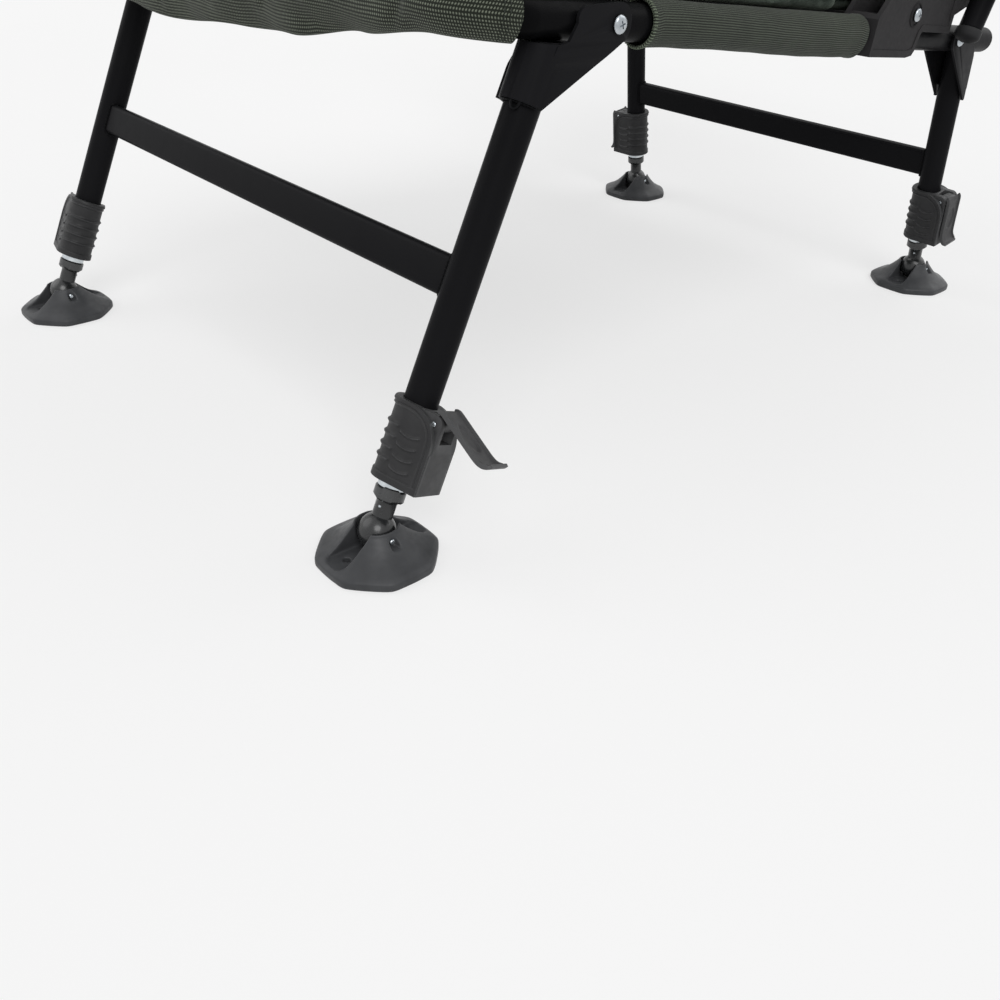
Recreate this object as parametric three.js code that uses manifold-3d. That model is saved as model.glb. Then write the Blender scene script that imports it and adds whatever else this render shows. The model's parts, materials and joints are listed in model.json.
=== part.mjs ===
// A folding carp fishing chair: bent-tube seat and back frames, two folding leg
// frames, four sliding legs with lever clamps and tilting mud feet, a cloth sling
// and two padded cushions. Millimetres, +Z up. The chair faces -Y, and +X is on
// the right of someone who stands in front of it and looks at it.
import * as THREE from "three";
import { mergeVertices } from "three/addons/utils/BufferGeometryUtils.js";
import Module from "manifold-3d";

const wasm = await Module();
wasm.setup();

// Clearances
const fitGap = 0.3; // between two pieces that seat on each other
const sweepGap = 0.8; // between pieces that swing past each other
const cheekGap = 1.4; // beside the rail, whose taper the folding cheeks swing across
const overrun = 4; // how far a cutting tool runs past what it cuts

// Steel tube
const tubeRadius = 11;
const tubeWall = 1.3;
const innerLegWall = 1.2;
const innerLegLength = 165;
const backTubeRadius = 10;
const backTubeWall = 1.2;
const rearRailRadius = 9;
const railSides = 12; // flats round a bent tube
const sheetThickness = 2;
const boltRadius = 3;
const boltHeadRadius = 4.8;
const boltHeadHeight = 3;
const nutRadius = 5;
const nutHeight = 4;

// Seat frame, in the seat's own sloping frame: along runs from the front rail to the rear
const seatSlope = THREE.MathUtils.degToRad(5.6);
const frontRailY = 78;
const frontRailZ = 310;
const seatHalfFront = 243.5;
const railTaper = THREE.MathUtils.degToRad(3.8); // each side rail runs in towards the rear
const seatCornerRadius = 38;
const sideRailEnd = 680;
const rearRailAlong = 660;
const capFlangeThickness = 4;
const capPlugLength = 12;
const capDomeShare = 0.7; // flat middle of a cap's outer end

// Leg frames
const ballHeight = 19.3;
const frontBallY = 0;
const rearBallY = 743.5;
const frontLean = THREE.MathUtils.degToRad(25.1);
const rearLean = THREE.MathUtils.degToRad(-8.5);
const frontSplay = THREE.MathUtils.degToRad(1.3);
const rearSplay = THREE.MathUtils.degToRad(-0.7);
const frontBoltAlong = 98;
const rearBoltAlong = 595;
const frontBarRise = 147.5;
const rearBarRise = 110.3;
const barWidth = 25;
const barThickness = 12;
const barEdgeRadius = 4;
const bracketArm = 11.5; // round end of a bracket about its bolt
const frontSleeveLength = 36;
const frontBracketReach = 36;
const frontNotchRadius = 7;
const frontCheekTail = 4; // the cheeks' lower corner, behind the leg's axis
const frontCheekTop = 11; // where their front edge comes down beside the rail, behind that axis
const frontCheekRise = 2; // how far up beside the rail it ends
const rearWebLength = 32;
const rearWebTop = 12;
const rearTipDrop = 52;
const rearTopReach = 42;
const rearTopDrop = 9;

// Ball plug, from the ball's centre up the leg
const ballRadius = 12.5;
const stemRadius = 6.75;
const collarRadius = 10.2;
const collarStart = 22;
const collarHeight = 8;
const plugSpigotLength = 14;
const bareLeg = 5; // silver inner leg between collar and clamp
const pinRadius = 2;
const pinLength = 34;

// Lever clamp, about the leg's axis, with the lever on its outboard side
const clampHeight = 52;
const clampRadius = 15.7;
const clampStep = 10; // the outer leg ends this far up inside the clamp
const clampHalfWidth = 14.2;
const clampShellReach = 16.5;
const clampBoxReach = 25.5;
const clampBoxHalfWidth = 12;
const clampChannelHalf = 6.8;
const clampChannelFloor = 14;
const clampWindowStart = 34;
const clampTurnFront = THREE.MathUtils.degToRad(15);
const leverPinReach = 20;
const leverPinRise = 45;
const leverPinRadius = 1.6;
const leverHubRadius = 4.9;
const leverPaddleLength = 43;
const leverPaddleThickness = 3.2;
const leverPaddleHalfWidth = 11;
const leverLip = 6;
const frontRightLeverOpen = THREE.MathUtils.degToRad(61);

// Mud foot, about the ball's centre
const footHalfAcross = 39;
const footRimHeight = 6;
const footShoulder = 3;
const footTopRadius = 15;
const footTopRise = 5;
const footMidRadius = 25;
const footMidDrop = 3.5;
const footSlotHalf = 8.6;
const footSlotReach = 27;
const footSlotFloor = 12;
const footPinHoleReach = 30;

// Recliner housing on each side rail, in the seat's frame
const housingFront = 422;
const housingFrontKnee = 432;
const housingFrontTop = 452;
const housingTop = 58;
const housingRear = 565;
const housingWall = 4;
const housingKneeRise = 12;
const housingLipDrop = 14;
const housingLipEnd = 492;
const housingNotchRise = 5;
const housingEarRadius = 15;
const reclinerBoltBehind = 66; // from the housing's front
const reclinerBoltRise = 17.4;

// Back frame, about its pivot
const backPivotAlong = 584;
const backPivotRise = 41.5;
const backLean = THREE.MathUtils.degToRad(22.7);
const backOffset = 30; // tube axis outboard of the side rail's axis
const backTailLength = 45;
const backBendStart = 12; // the uprights lean outward between these two heights, so that
const backBendEnd = 152; // the folded back passes outboard of the housings
const backHeight = 590;
const backCornerRadius = 70;
const backCapRadius = 11.2;
const backCapLength = 16;
const pivotBossRadius = 9;

// Seat sling
const slingThickness = 2.4;
const sleeveRadius = 13;
const sideSleeveStart = 134;
const sideSleeveEnd = 416;
const frontSleeveTurn = THREE.MathUtils.degToRad(72); // how far it runs round each corner
const slingFront = 8;
const slingRear = 548;
const slingDrop = 14;
const slingSagShares = [0.1, 0.8]; // the panel's ends, as shares of one arch of sag
const panelStationShares = [0, 0.35, 0.65, 1]; // along the side sleeves
const slingHousingGap = 2;
const bracketGap = 2; // between the panel's edge and the nut on a leg bracket
const frontHang = 49; // the front cloth's lowest edge below the rail's axis
// Pairs along the front cloth from its left end to its right: place, and share of the hang
const frontHangShares = [
  [0, 0.36],
  [0.095, 0.6],
  [0.145, 1],
  [0.223, 0.95],
  [0.292, 0.88],
  [0.5, 0.73],
  [0.638, 0.66],
  [0.777, 0.46],
  [0.915, 0.28],
  [1, 0.27],
];
const frontPleat = 4;
const frontPleats = 5;

// Cushions
const seatCushionFront = -10;
const seatCushionRear = 545;
const cushionOverRail = 8; // how far a cushion reaches outboard of a rail's or upright's axis
const cushionTaperStart = 372;
const cushionHousingGap = 3;
const seatCushionEdge = 22;
const seatCushionCrown = 24;
const seatChannels = 4;
const backCushionLow = 78;
const backCushionHigh = 600;
const backCushionEdge = 22;
const backCushionCrown = 22;
const backChannels = 5;
const channelDepth = 5;
const cushionDrawIn = 9;
const cushionCorner = 60;
const cushionCornerDraw = 7.5;
const cushionUnderCorner = 5;
const backSlingLow = 84;
const backSleeveLow = 160; // the sling is narrow below this, to pass between the housings
const backSlingEdge = 4; // its top edge, below the ends of its sleeves
const backSleeveRadius = 12;

// Worked out from the sizes above
const legSocket = tubeRadius + fitGap;
const innerLegRadius = tubeRadius - tubeWall - fitGap;
const spigotRadius = innerLegRadius - innerLegWall - fitGap;
const cheekInner = tubeRadius + cheekGap;
const cheekOuter = cheekInner + sheetThickness;
const socketRadius = ballRadius + 3 * fitGap;
const clampStart = collarStart + collarHeight + fitGap + bareLeg;
const reclinerBoltAlong = housingFront + reclinerBoltBehind;
const backSleeveTop = backHeight - backCornerRadius;

const steel = (color, roughness) => new THREE.MeshStandardMaterial({ color, roughness, metalness: 1 });
const plain = (color, roughness) => new THREE.MeshStandardMaterial({ color, roughness, metalness: 0 });
const finishes = {
  powderCoat: plain(0x161617, 0.42),
  zinc: steel(0xc9ced2, 0.3),
  nylon: plain(0x3c3d3e, 0.55),
  plug: plain(0x2c2d2e, 0.5),
  housing: plain(0x2f2f30, 0.6),
  weave: plain(0x3a4038, 0.95),
  padding: plain(0x3f4941, 0.9),
};

const point = (x, y, z) => new THREE.Vector3(x, y, z);
const turnX = (angle) => new THREE.Matrix4().makeRotationX(angle);
// Takes an outline drawn in X and Y, and pulled along Z, to Y and Z, pulled along X
const sideways = new THREE.Matrix4().makeBasis(point(0, 1, 0), point(0, 0, 1), point(1, 0, 0));

// One closed body for joining and cutting, with its faces turned outward
function solid(geometry) {
  const bare = geometry.index ? geometry.toNonIndexed() : geometry.clone();
  for (const name of Object.keys(bare.attributes)) {
    if (name !== "position") bare.deleteAttribute(name);
  }
  const merged = mergeVertices(bare, 1e-4);
  const vertices = merged.attributes.position.array;
  const faces = [];
  let volume = 0;
  const [a, b, c] = [point(0, 0, 0), point(0, 0, 0), point(0, 0, 0)];
  for (let i = 0; i < merged.index.count; i += 3) {
    const [p, q, r] = [0, 1, 2].map((k) => merged.index.getX(i + k));
    if (p === q || q === r || r === p) continue;
    faces.push([p, q, r]);
    a.fromArray(vertices, 3 * p);
    b.fromArray(vertices, 3 * q);
    c.fromArray(vertices, 3 * r);
    volume += a.dot(b.cross(c));
  }
  const triVerts = faces.flatMap(([p, q, r]) => (volume > 0 ? [p, q, r] : [p, r, q]));
  return new wasm.Manifold(
    new wasm.Mesh({
      numProp: 3,
      vertProperties: new Float32Array(vertices),
      triVerts: new Uint32Array(triVerts),
    }),
  );
}

function geometryOf(body) {
  const mesh = body.getMesh();
  const geometry = new THREE.BufferGeometry();
  geometry.setAttribute("position", new THREE.BufferAttribute(mesh.vertProperties, 3));
  geometry.setIndex(new THREE.BufferAttribute(mesh.triVerts, 1));
  const flat = geometry.toNonIndexed();
  flat.computeVertexNormals();
  return flat;
}

const join = (...bodies) => bodies.reduce((all, body) => all.add(body));
const cut = (body, ...tools) => tools.reduce((rest, tool) => rest.subtract(tool), body);

// A turned solid about Z, its outline given as [radius, height] pairs from axis to axis
function turned(outline, segments) {
  const lathe = new THREE.LatheGeometry(
    outline.map(([radius, height]) => new THREE.Vector2(radius, height)),
    segments,
  );
  return lathe.rotateX(Math.PI / 2);
}

// A round bar along Z from one height to another
function bar(radius, from, to, segments = 16) {
  return turned([[0, from], [radius, from], [radius, to], [0, to]], segments);
}

// A round bar along X
const crossBar = (radius, from, to, segments = 16) => bar(radius, from, to, segments).rotateY(Math.PI / 2);

function block(fromX, toX, fromY, toY, fromZ, toZ) {
  const box = new THREE.BoxGeometry(toX - fromX, toY - fromY, toZ - fromZ);
  return box.translate((fromX + toX) / 2, (fromY + toY) / 2, (fromZ + toZ) / 2);
}

// An outline in Y and Z, pulled from one X to another
function plate(shape, fromX, toX, curveSegments = 5) {
  const pulled = new THREE.ExtrudeGeometry(shape, { depth: toX - fromX, bevelEnabled: false, curveSegments });
  return pulled.applyMatrix4(sideways).translate(fromX, 0, 0);
}

// An outline in X and Z, pulled along Y to the same distance on both sides of Y = 0
function upright(shape, halfWidth) {
  const pulled = new THREE.ExtrudeGeometry(shape, {
    depth: 2 * halfWidth,
    bevelEnabled: false,
    curveSegments: 5,
  });
  return pulled.rotateX(Math.PI / 2).translate(0, halfWidth, 0);
}

// A tube of one radius swept through points that lie in a plane square to up
function sweptRod(points, up, radius, sides) {
  const last = points.length - 1;
  const positions = [];
  const index = [];
  points.forEach((centre, i) => {
    const along = points[Math.min(i + 1, last)].clone().sub(points[Math.max(i - 1, 0)]).normalize();
    const across = new THREE.Vector3().crossVectors(up, along).normalize();
    for (let k = 0; k < sides; k += 1) {
      const angle = (2 * Math.PI * k) / sides;
      const rim = centre.clone().addScaledVector(across, radius * Math.cos(angle));
      positions.push(...rim.addScaledVector(up, radius * Math.sin(angle)).toArray());
    }
  });
  for (let i = 0; i < last; i += 1) {
    for (let k = 0; k < sides; k += 1) {
      const next = (k + 1) % sides;
      const [p, q] = [i * sides + k, i * sides + next];
      index.push(p, q, p + sides, q, q + sides, p + sides);
    }
  }
  for (let k = 1; k < sides - 1; k += 1) {
    index.push(0, k + 1, k, last * sides, last * sides + k, last * sides + k + 1);
  }
  const geometry = new THREE.BufferGeometry();
  geometry.setAttribute("position", new THREE.Float32BufferAttribute(positions, 3));
  geometry.setIndex(index);
  return geometry;
}

// The same path with its two ends carried on by an overrun
function lengthened(points, extra) {
  const last = points.length - 1;
  const start = points[0].clone().sub(points[1]).setLength(extra).add(points[0]);
  const end = points[last].clone().sub(points[last - 1]).setLength(extra).add(points[last]);
  return [start, ...points.slice(1, last), end];
}

function sweptTube(points, up, radius, wall, sides) {
  const bore = sweptRod(lengthened(points, overrun), up, radius - wall, sides);
  return cut(solid(sweptRod(points, up, radius, sides)), solid(bore));
}

const chair = new THREE.Group();

function addPart(parent, name, geometry, material, place = [0, 0, 0]) {
  const mesh = new THREE.Mesh(geometry, material);
  mesh.name = name;
  mesh.position.set(...place);
  parent.add(mesh);
  return mesh;
}

const sides = [
  { name: "right", sign: 1 },
  { name: "left", sign: -1 },
];

// Seat frame
const seat = new THREE.Group();
seat.position.set(0, frontRailY, frontRailZ);
seat.rotation.x = -seatSlope;
chair.add(seat);

const inSeat = (x, along, rise) =>
  point(x, along, rise).applyMatrix4(turnX(-seatSlope)).add(point(0, frontRailY, frontRailZ));

// How far the side rail's axis is from the middle, at a distance behind the front rail
const railHalf = (along) =>
  seatHalfFront -
  seatCornerRadius * (1 - Math.cos(railTaper)) -
  (along - seatCornerRadius * (1 - Math.sin(railTaper))) * Math.tan(railTaper);

// A place on the front rail or its corner, by its turn round the corner
function onCorner(turn) {
  const x = seatHalfFront - seatCornerRadius * (1 - Math.sin(turn));
  return point(x, seatCornerRadius * (1 - Math.cos(turn)), 0);
}

function seatPath() {
  const cornerSteps = 5;
  const half = [];
  for (let i = 0; i <= cornerSteps; i += 1) {
    half.push(onCorner((i / cornerSteps) * (Math.PI / 2 - railTaper)));
  }
  half.push(point(railHalf(sideRailEnd), sideRailEnd, 0));
  const mirrored = half.map((p) => point(-p.x, p.y, p.z)).reverse();
  return [...mirrored, ...half];
}

const seatUp = point(0, 0, 1);
const seatBolts = [frontBoltAlong, rearBoltAlong].flatMap((along) =>
  sides.map(({ sign }) => {
    const x = sign * railHalf(along);
    const reach = tubeRadius + overrun;
    return solid(crossBar(boltRadius + fitGap, x - reach, x + reach, 12).translate(0, along, 0));
  }),
);
const seatTube = cut(sweptTube(seatPath(), seatUp, tubeRadius, tubeWall, railSides), ...seatBolts);
addPart(seat, "seat_frame", geometryOf(seatTube), finishes.powderCoat);

function railClearance(gap) {
  return solid(sweptRod(lengthened(seatPath(), overrun), seatUp, tubeRadius + gap, railSides));
}

function rearRail() {
  const reach = railHalf(rearRailAlong) - tubeRadius / 2;
  const rod = cut(
    solid(crossBar(rearRailRadius, -reach, reach)),
    solid(crossBar(rearRailRadius - tubeWall, -reach - overrun, reach + overrun)),
  );
  return cut(rod.translate([0, rearRailAlong, 0]), railClearance(fitGap));
}
addPart(seat, "seat_rear_rail", geometryOf(rearRail()), finishes.powderCoat);

// A plug that closes a tube's end, its flange just past the end at z = 0
function endCap(radius, wall, flange) {
  const plugRadius = (radius - wall) * Math.cos(Math.PI / railSides) - fitGap;
  return turned(
    [
      [0, -capPlugLength],
      [plugRadius, -capPlugLength],
      [plugRadius, fitGap],
      [radius, fitGap],
      [radius, fitGap + flange / 2],
      [radius * capDomeShare, fitGap + flange],
      [0, fitGap + flange],
    ],
    12,
  );
}
for (const { name, sign } of sides) {
  const cap = endCap(tubeRadius, tubeWall, capFlangeThickness);
  cap.rotateX(-Math.PI / 2).rotateZ(sign * railTaper);
  addPart(seat, `rail_end_cap_${name}`, cap, finishes.nylon, [sign * railHalf(sideRailEnd), sideRailEnd, 0]);
}

// A bolt along X: head outboard at +X, nut inboard, grip measured from the middle
function crossBolt(grip, innerGrip = grip) {
  const bolt = turned(
    [
      [0, -innerGrip - nutHeight],
      [nutRadius, -innerGrip - nutHeight],
      [nutRadius, -innerGrip],
      [boltRadius, -innerGrip],
      [boltRadius, grip],
      [boltHeadRadius, grip],
      [boltHeadRadius, grip + boltHeadHeight / 2],
      [boltHeadRadius / 2, grip + boltHeadHeight],
      [0, grip + boltHeadHeight],
    ],
    8,
  );
  return bolt.rotateY(Math.PI / 2);
}
const mirroredX = (geometry, sign) => (sign > 0 ? geometry : geometry.rotateZ(Math.PI));

for (const [end, along] of [["front", frontBoltAlong], ["rear", rearBoltAlong]]) {
  for (const { name, sign } of sides) {
    const bolt = mirroredX(crossBolt(cheekOuter + sweepGap), sign);
    addPart(seat, `${end}_pivot_bolt_${name}`, bolt, finishes.zinc, [sign * railHalf(along), along, 0]);
  }
}

// Leg frames. Each is modelled about its bolt line, upright in the chair's frame.
const legEnds = [
  {
    end: "front",
    bolt: frontBoltAlong,
    ballY: frontBallY,
    lean: frontLean,
    splay: frontSplay,
    barRise: frontBarRise,
    clampTurn: clampTurnFront,
  },
  {
    end: "rear",
    bolt: rearBoltAlong,
    ballY: rearBallY,
    lean: rearLean,
    splay: rearSplay,
    barRise: rearBarRise,
    clampTurn: 0,
  },
];

// The leg's own frame: origin at the ball's centre, Z up the leg, X outboard
function legFrame(leg, sign) {
  const foot = point(footHalf(leg), leg.ballY, ballHeight);
  const up = point(-Math.tan(leg.splay), Math.tan(leg.lean), 1).normalize();
  const across = point(1, 0, 0).addScaledVector(up, -up.x).normalize();
  const along = new THREE.Vector3().crossVectors(up, across);
  const frame = new THREE.Matrix4().makeBasis(across, along, up).setPosition(foot);
  if (sign > 0) return frame;
  const mirroredUp = point(-up.x, up.y, up.z);
  const mirroredAcross = point(-across.x, across.y, across.z);
  const back = new THREE.Vector3().crossVectors(mirroredUp, mirroredAcross);
  return new THREE.Matrix4()
    .makeBasis(mirroredAcross, back, mirroredUp)
    .setPosition(point(-foot.x, foot.y, foot.z));
}

// Where the leg's axis meets the side rail's axis
function legTopZ(leg) {
  const slope = Math.tan(seatSlope);
  const lean = Math.tan(leg.lean);
  return (frontRailZ - slope * (leg.ballY - lean * ballHeight - frontRailY)) / (1 + slope * lean);
}
const legTopY = (leg) => leg.ballY + Math.tan(leg.lean) * (legTopZ(leg) - ballHeight);
const legTopHalf = (leg) => railHalf((legTopY(leg) - frontRailY) / Math.cos(seatSlope));
const footHalf = (leg) => legTopHalf(leg) + (legTopZ(leg) - ballHeight) * Math.tan(leg.splay);

function underRail(leg, gap) {
  const size = 2 * seatHalfFront;
  const slab = block(-size, size, -size, size, -tubeRadius - gap, size);
  const place = point(0, legTopY(leg), legTopZ(leg));
  return solid(slab.applyMatrix4(turnX(-seatSlope)).translate(...place.toArray()));
}

function legTube(leg, sign) {
  const frame = legFrame(leg, sign);
  const start = clampStart + clampStep + fitGap;
  const top = (legTopZ(leg) - ballHeight) / Math.cos(leg.lean) + overrun;
  const rod = cut(
    solid(bar(tubeRadius, start, top, 16)),
    solid(bar(tubeRadius - tubeWall, start - overrun, top + overrun, 16)),
  );
  return cut(solid(geometryOf(rod).applyMatrix4(frame)), underRail(leg, fitGap));
}

function legBar(leg) {
  const half = footHalf(leg) + tubeRadius;
  const shape = new THREE.Shape();
  const [w, t, r] = [barWidth / 2, barThickness / 2, barEdgeRadius];
  shape.moveTo(-t + r, -w);
  shape.lineTo(t - r, -w);
  shape.absarc(t - r, -w + r, r, -Math.PI / 2, 0);
  shape.lineTo(t, w - r);
  shape.absarc(t - r, w - r, r, 0, Math.PI / 2);
  shape.lineTo(-t + r, w);
  shape.absarc(-t + r, w - r, r, Math.PI / 2, Math.PI);
  shape.lineTo(-t, -w + r);
  shape.absarc(-t + r, -w + r, r, Math.PI, 1.5 * Math.PI);
  const place = [0, leg.ballY + Math.tan(leg.lean) * leg.barRise, ballHeight + leg.barRise];
  const strip = plate(shape, -half, half, 3).applyMatrix4(turnX(-leg.lean)).translate(...place);
  const tubes = sides.map(({ sign }) => {
    const rod = bar(tubeRadius + fitGap, 0, 2 * leg.barRise, 16);
    return solid(rod.applyMatrix4(legFrame(leg, sign)));
  });
  const pieces = cut(solid(strip), ...tubes).decompose();
  return pieces.reduce((widest, piece) => (piece.volume() > widest.volume() ? piece : widest));
}

const boltPoint = (leg) => inSeat(0, leg.bolt, 0);

// The front bracket: a sheet wrapped round the front of the leg, with two cheeks
// that run back past the rail to the bolt. Drawn in Y and Z from the bolt.
function frontBracket(leg, sign) {
  const bolt = boltPoint(leg);
  const [topY, topZ] = [legTopY(leg) - bolt.y, legTopZ(leg) - bolt.z];
  const [sin, cos] = [Math.sin(leg.lean), Math.cos(leg.lean)];
  const start = tubeRadius / cos;
  const onLeg = (down, behind) =>
    new THREE.Vector2(topY - down * sin + behind * cos, topZ - down * cos - behind * sin);
  const bottom = onLeg(start + frontSleeveLength, -2 * sheetThickness);
  const crown = onLeg(start + frontCheekRise, -2 * sheetThickness);
  const bottomRear = onLeg(start + frontSleeveLength, frontCheekTail);
  const crownRear = onLeg(start - frontCheekRise, frontCheekTop);
  const shape = new THREE.Shape();
  shape.moveTo(bottom.x, bottom.y);
  shape.lineTo(bottomRear.x, bottomRear.y);
  shape.absarc(0, 0, bracketArm, THREE.MathUtils.degToRad(-55), Math.PI / 2);
  shape.lineTo(-frontBracketReach + frontNotchRadius, bracketArm);
  shape.absarc(
    -frontBracketReach + frontNotchRadius,
    bracketArm - frontNotchRadius,
    frontNotchRadius,
    Math.PI / 2,
    Math.PI + leg.lean / 2,
  );
  shape.lineTo(crownRear.x, crownRear.y);
  shape.lineTo(crown.x, crown.y);
  const frame = legFrame(leg, sign);
  const length = (legTopZ(leg) - ballHeight) / cos;
  const sleeveFrom = length - start - frontSleeveLength;
  const sleeveTo = length + tubeRadius;
  const past = cheekOuter + overrun;
  const wrap = cut(
    solid(bar(cheekOuter, sleeveFrom, sleeveTo, 16)),
    solid(bar(legSocket, sleeveFrom - overrun, sleeveTo + overrun, 16)),
    solid(block(-past, past, 0, past, sleeveFrom - overrun, sleeveTo + overrun)),
  );
  const front = sign > 0 ? wrap : wrap.rotate([0, 0, 180]);
  const legRod = bar(legSocket, sleeveFrom - overrun, sleeveTo, 16);
  const sleeve = cut(solid(geometryOf(front).applyMatrix4(frame)), underRail(leg, sweepGap));
  const body = join(...cheekPair(leg, sign, shape), sleeve);
  return cut(body, solid(legRod.applyMatrix4(frame)), boltHole(leg, sign));
}

// Two cheeks of one outline, drawn from the bolt, set astride the tapering rail
function cheekPair(leg, sign, shape) {
  const bolt = boltPoint(leg);
  return [-cheekOuter, cheekInner].map((from) => {
    const cheek = plate(shape, from, from + sheetThickness).rotateZ(sign * railTaper);
    return solid(cheek.translate(sign * railHalf(leg.bolt), bolt.y, bolt.z));
  });
}

function boltHole(leg, sign) {
  const bolt = boltPoint(leg);
  const x = sign * railHalf(leg.bolt);
  const reach = cheekOuter + overrun;
  return solid(crossBar(boltRadius + fitGap, x - reach, x + reach, 12).translate(0, bolt.y, bolt.z));
}

// The rear bracket: two cheeks that taper down the leg to a tip, joined by a web
// round the back of the leg.
function rearBracket(leg, sign) {
  const bolt = boltPoint(leg);
  const [topY, topZ] = [legTopY(leg) - bolt.y, legTopZ(leg) - bolt.z];
  const [sin, cos] = [Math.sin(leg.lean), Math.cos(leg.lean)];
  const tipY = topY - rearTipDrop * sin;
  const tipZ = topZ - rearTipDrop * cos;
  const tipRadius = sheetThickness;
  const shape = new THREE.Shape();
  shape.moveTo(tipY - tipRadius, tipZ);
  shape.absarc(tipY, tipZ, tipRadius, Math.PI, 2 * Math.PI);
  shape.lineTo(rearTopReach, -rearTopDrop - tipRadius);
  shape.lineTo(rearTopReach - tipRadius, -rearTopDrop);
  shape.absarc(0, 0, bracketArm, THREE.MathUtils.degToRad(70), THREE.MathUtils.degToRad(215));
  const frame = legFrame(leg, sign);
  const length = (legTopZ(leg) - ballHeight) / cos;
  const [from, to] = [length - rearWebTop - rearWebLength, length - rearWebTop];
  const past = cheekOuter + overrun;
  const wrap = cut(
    solid(bar(cheekOuter, from, to, 16)),
    solid(bar(legSocket, from - overrun, to + overrun, 16)),
    solid(block(-past, past, -past, 0, from - overrun, to + overrun)),
  );
  const rear = sign > 0 ? wrap : wrap.rotate([0, 0, 180]);
  const legRod = bar(legSocket, from - 2 * rearWebLength, to + rearWebTop, 16);
  const web = cut(solid(geometryOf(rear).applyMatrix4(frame)), underRail(leg, sweepGap));
  const body = join(...cheekPair(leg, sign, shape), web);
  return cut(body, solid(legRod.applyMatrix4(frame)), boltHole(leg, sign));
}

// Ball plug in the leg's frame: ball, stem, collar, and a spigot up inside the inner leg
function ballPlug() {
  const joint = Math.acos(stemRadius / ballRadius);
  const outline = [];
  const steps = 6;
  for (let i = 0; i <= steps; i += 1) {
    const angle = -Math.PI / 2 + (i / steps) * (Math.PI / 2 + joint);
    outline.push([i === 0 ? 0 : ballRadius * Math.cos(angle), ballRadius * Math.sin(angle)]);
  }
  const top = collarStart + collarHeight;
  outline.push([stemRadius, collarStart], [collarRadius, collarStart], [collarRadius, top]);
  outline.push([spigotRadius, top], [spigotRadius, top + plugSpigotLength], [0, top + plugSpigotLength]);
  const hole = crossBar(pinRadius + 2 * fitGap, -ballRadius - overrun, ballRadius + overrun, 8);
  return cut(solid(turned(outline, 12)), solid(hole));
}

function innerLeg() {
  const start = collarStart + collarHeight + fitGap;
  return cut(
    solid(bar(innerLegRadius, start, start + innerLegLength, 16)),
    solid(bar(innerLegRadius - innerLegWall, start - overrun, start + innerLegLength + overrun, 16)),
  );
}

// Clamp body in the leg's frame, from z = 0 at its lower end
function clampBody() {
  const round = solid(bar(clampRadius, 0, clampHeight, 16));
  const shell = new THREE.Shape();
  const archRise = clampHeight - clampShellReach;
  shell.moveTo(0, 0);
  shell.lineTo(clampShellReach, 0);
  shell.lineTo(clampShellReach, archRise);
  shell.absarc(0, archRise, clampShellReach, 0, Math.PI / 2);
  const flank = upright(shell, clampHalfWidth);
  const box = new THREE.Shape();
  box.moveTo(0, 0);
  box.lineTo(clampBoxReach, 0);
  box.lineTo(clampBoxReach, leverPinRise);
  box.absarc(leverPinReach, leverPinRise, clampBoxReach - leverPinReach, 0, Math.PI / 2);
  box.lineTo(0, leverPinRise + clampBoxReach - leverPinReach);
  const carrier = upright(box, clampBoxHalfWidth);
  const body = join(round, solid(flank), solid(carrier));
  const legBore = solid(bar(tubeRadius + fitGap, clampStep, clampHeight + overrun, 16));
  const innerBore = solid(bar(innerLegRadius + fitGap, -overrun, clampStep + overrun, 16));
  const channel = solid(
    block(
      clampChannelFloor,
      clampBoxReach + overrun,
      -clampChannelHalf,
      clampChannelHalf,
      clampWindowStart,
      clampHeight + overrun,
    ),
  );
  const pinHole = bar(leverPinRadius + fitGap, -clampHalfWidth - overrun, clampHalfWidth + overrun, 12)
    .rotateX(Math.PI / 2)
    .translate(leverPinReach, 0, leverPinRise);
  return cut(body, legBore, innerBore, channel, solid(pinHole));
}

// Lever about its pin, drawn shut: the paddle hangs down over the box's outer face
function clampLever() {
  const hubHalf = clampChannelHalf - fitGap;
  const hub = bar(leverHubRadius, -hubHalf, hubHalf, 16).rotateX(Math.PI / 2);
  const near = clampBoxReach - leverPinReach + sweepGap;
  const far = near + leverPaddleThickness;
  const paddle = new THREE.Shape();
  paddle.moveTo(near, 0);
  paddle.lineTo(near, -leverPaddleLength + leverLip);
  paddle.lineTo(near + leverLip / 2, -leverPaddleLength);
  paddle.lineTo(far + leverLip, -leverPaddleLength - leverPaddleThickness / 2);
  paddle.lineTo(far + leverLip, -leverPaddleLength + leverPaddleThickness / 2);
  paddle.lineTo(far + leverLip / 3, -leverPaddleLength + leverLip);
  paddle.lineTo(far, -leverPaddleLength + 2 * leverLip);
  paddle.lineTo(far, 0);
  paddle.absarc(near, 0, leverPaddleThickness, 0, Math.PI / 2);
  const blade = upright(paddle, leverPaddleHalfWidth);
  const neckReach = near + leverPaddleThickness / 2;
  const neck = block(0, neckReach, -hubHalf, hubHalf, -leverHubRadius, leverHubRadius / 2);
  const hole = bar(leverPinRadius + fitGap, -hubHalf - overrun, hubHalf + overrun, 12).rotateX(Math.PI / 2);
  return cut(join(solid(hub), solid(blade), solid(neck)), solid(hole));
}

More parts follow.
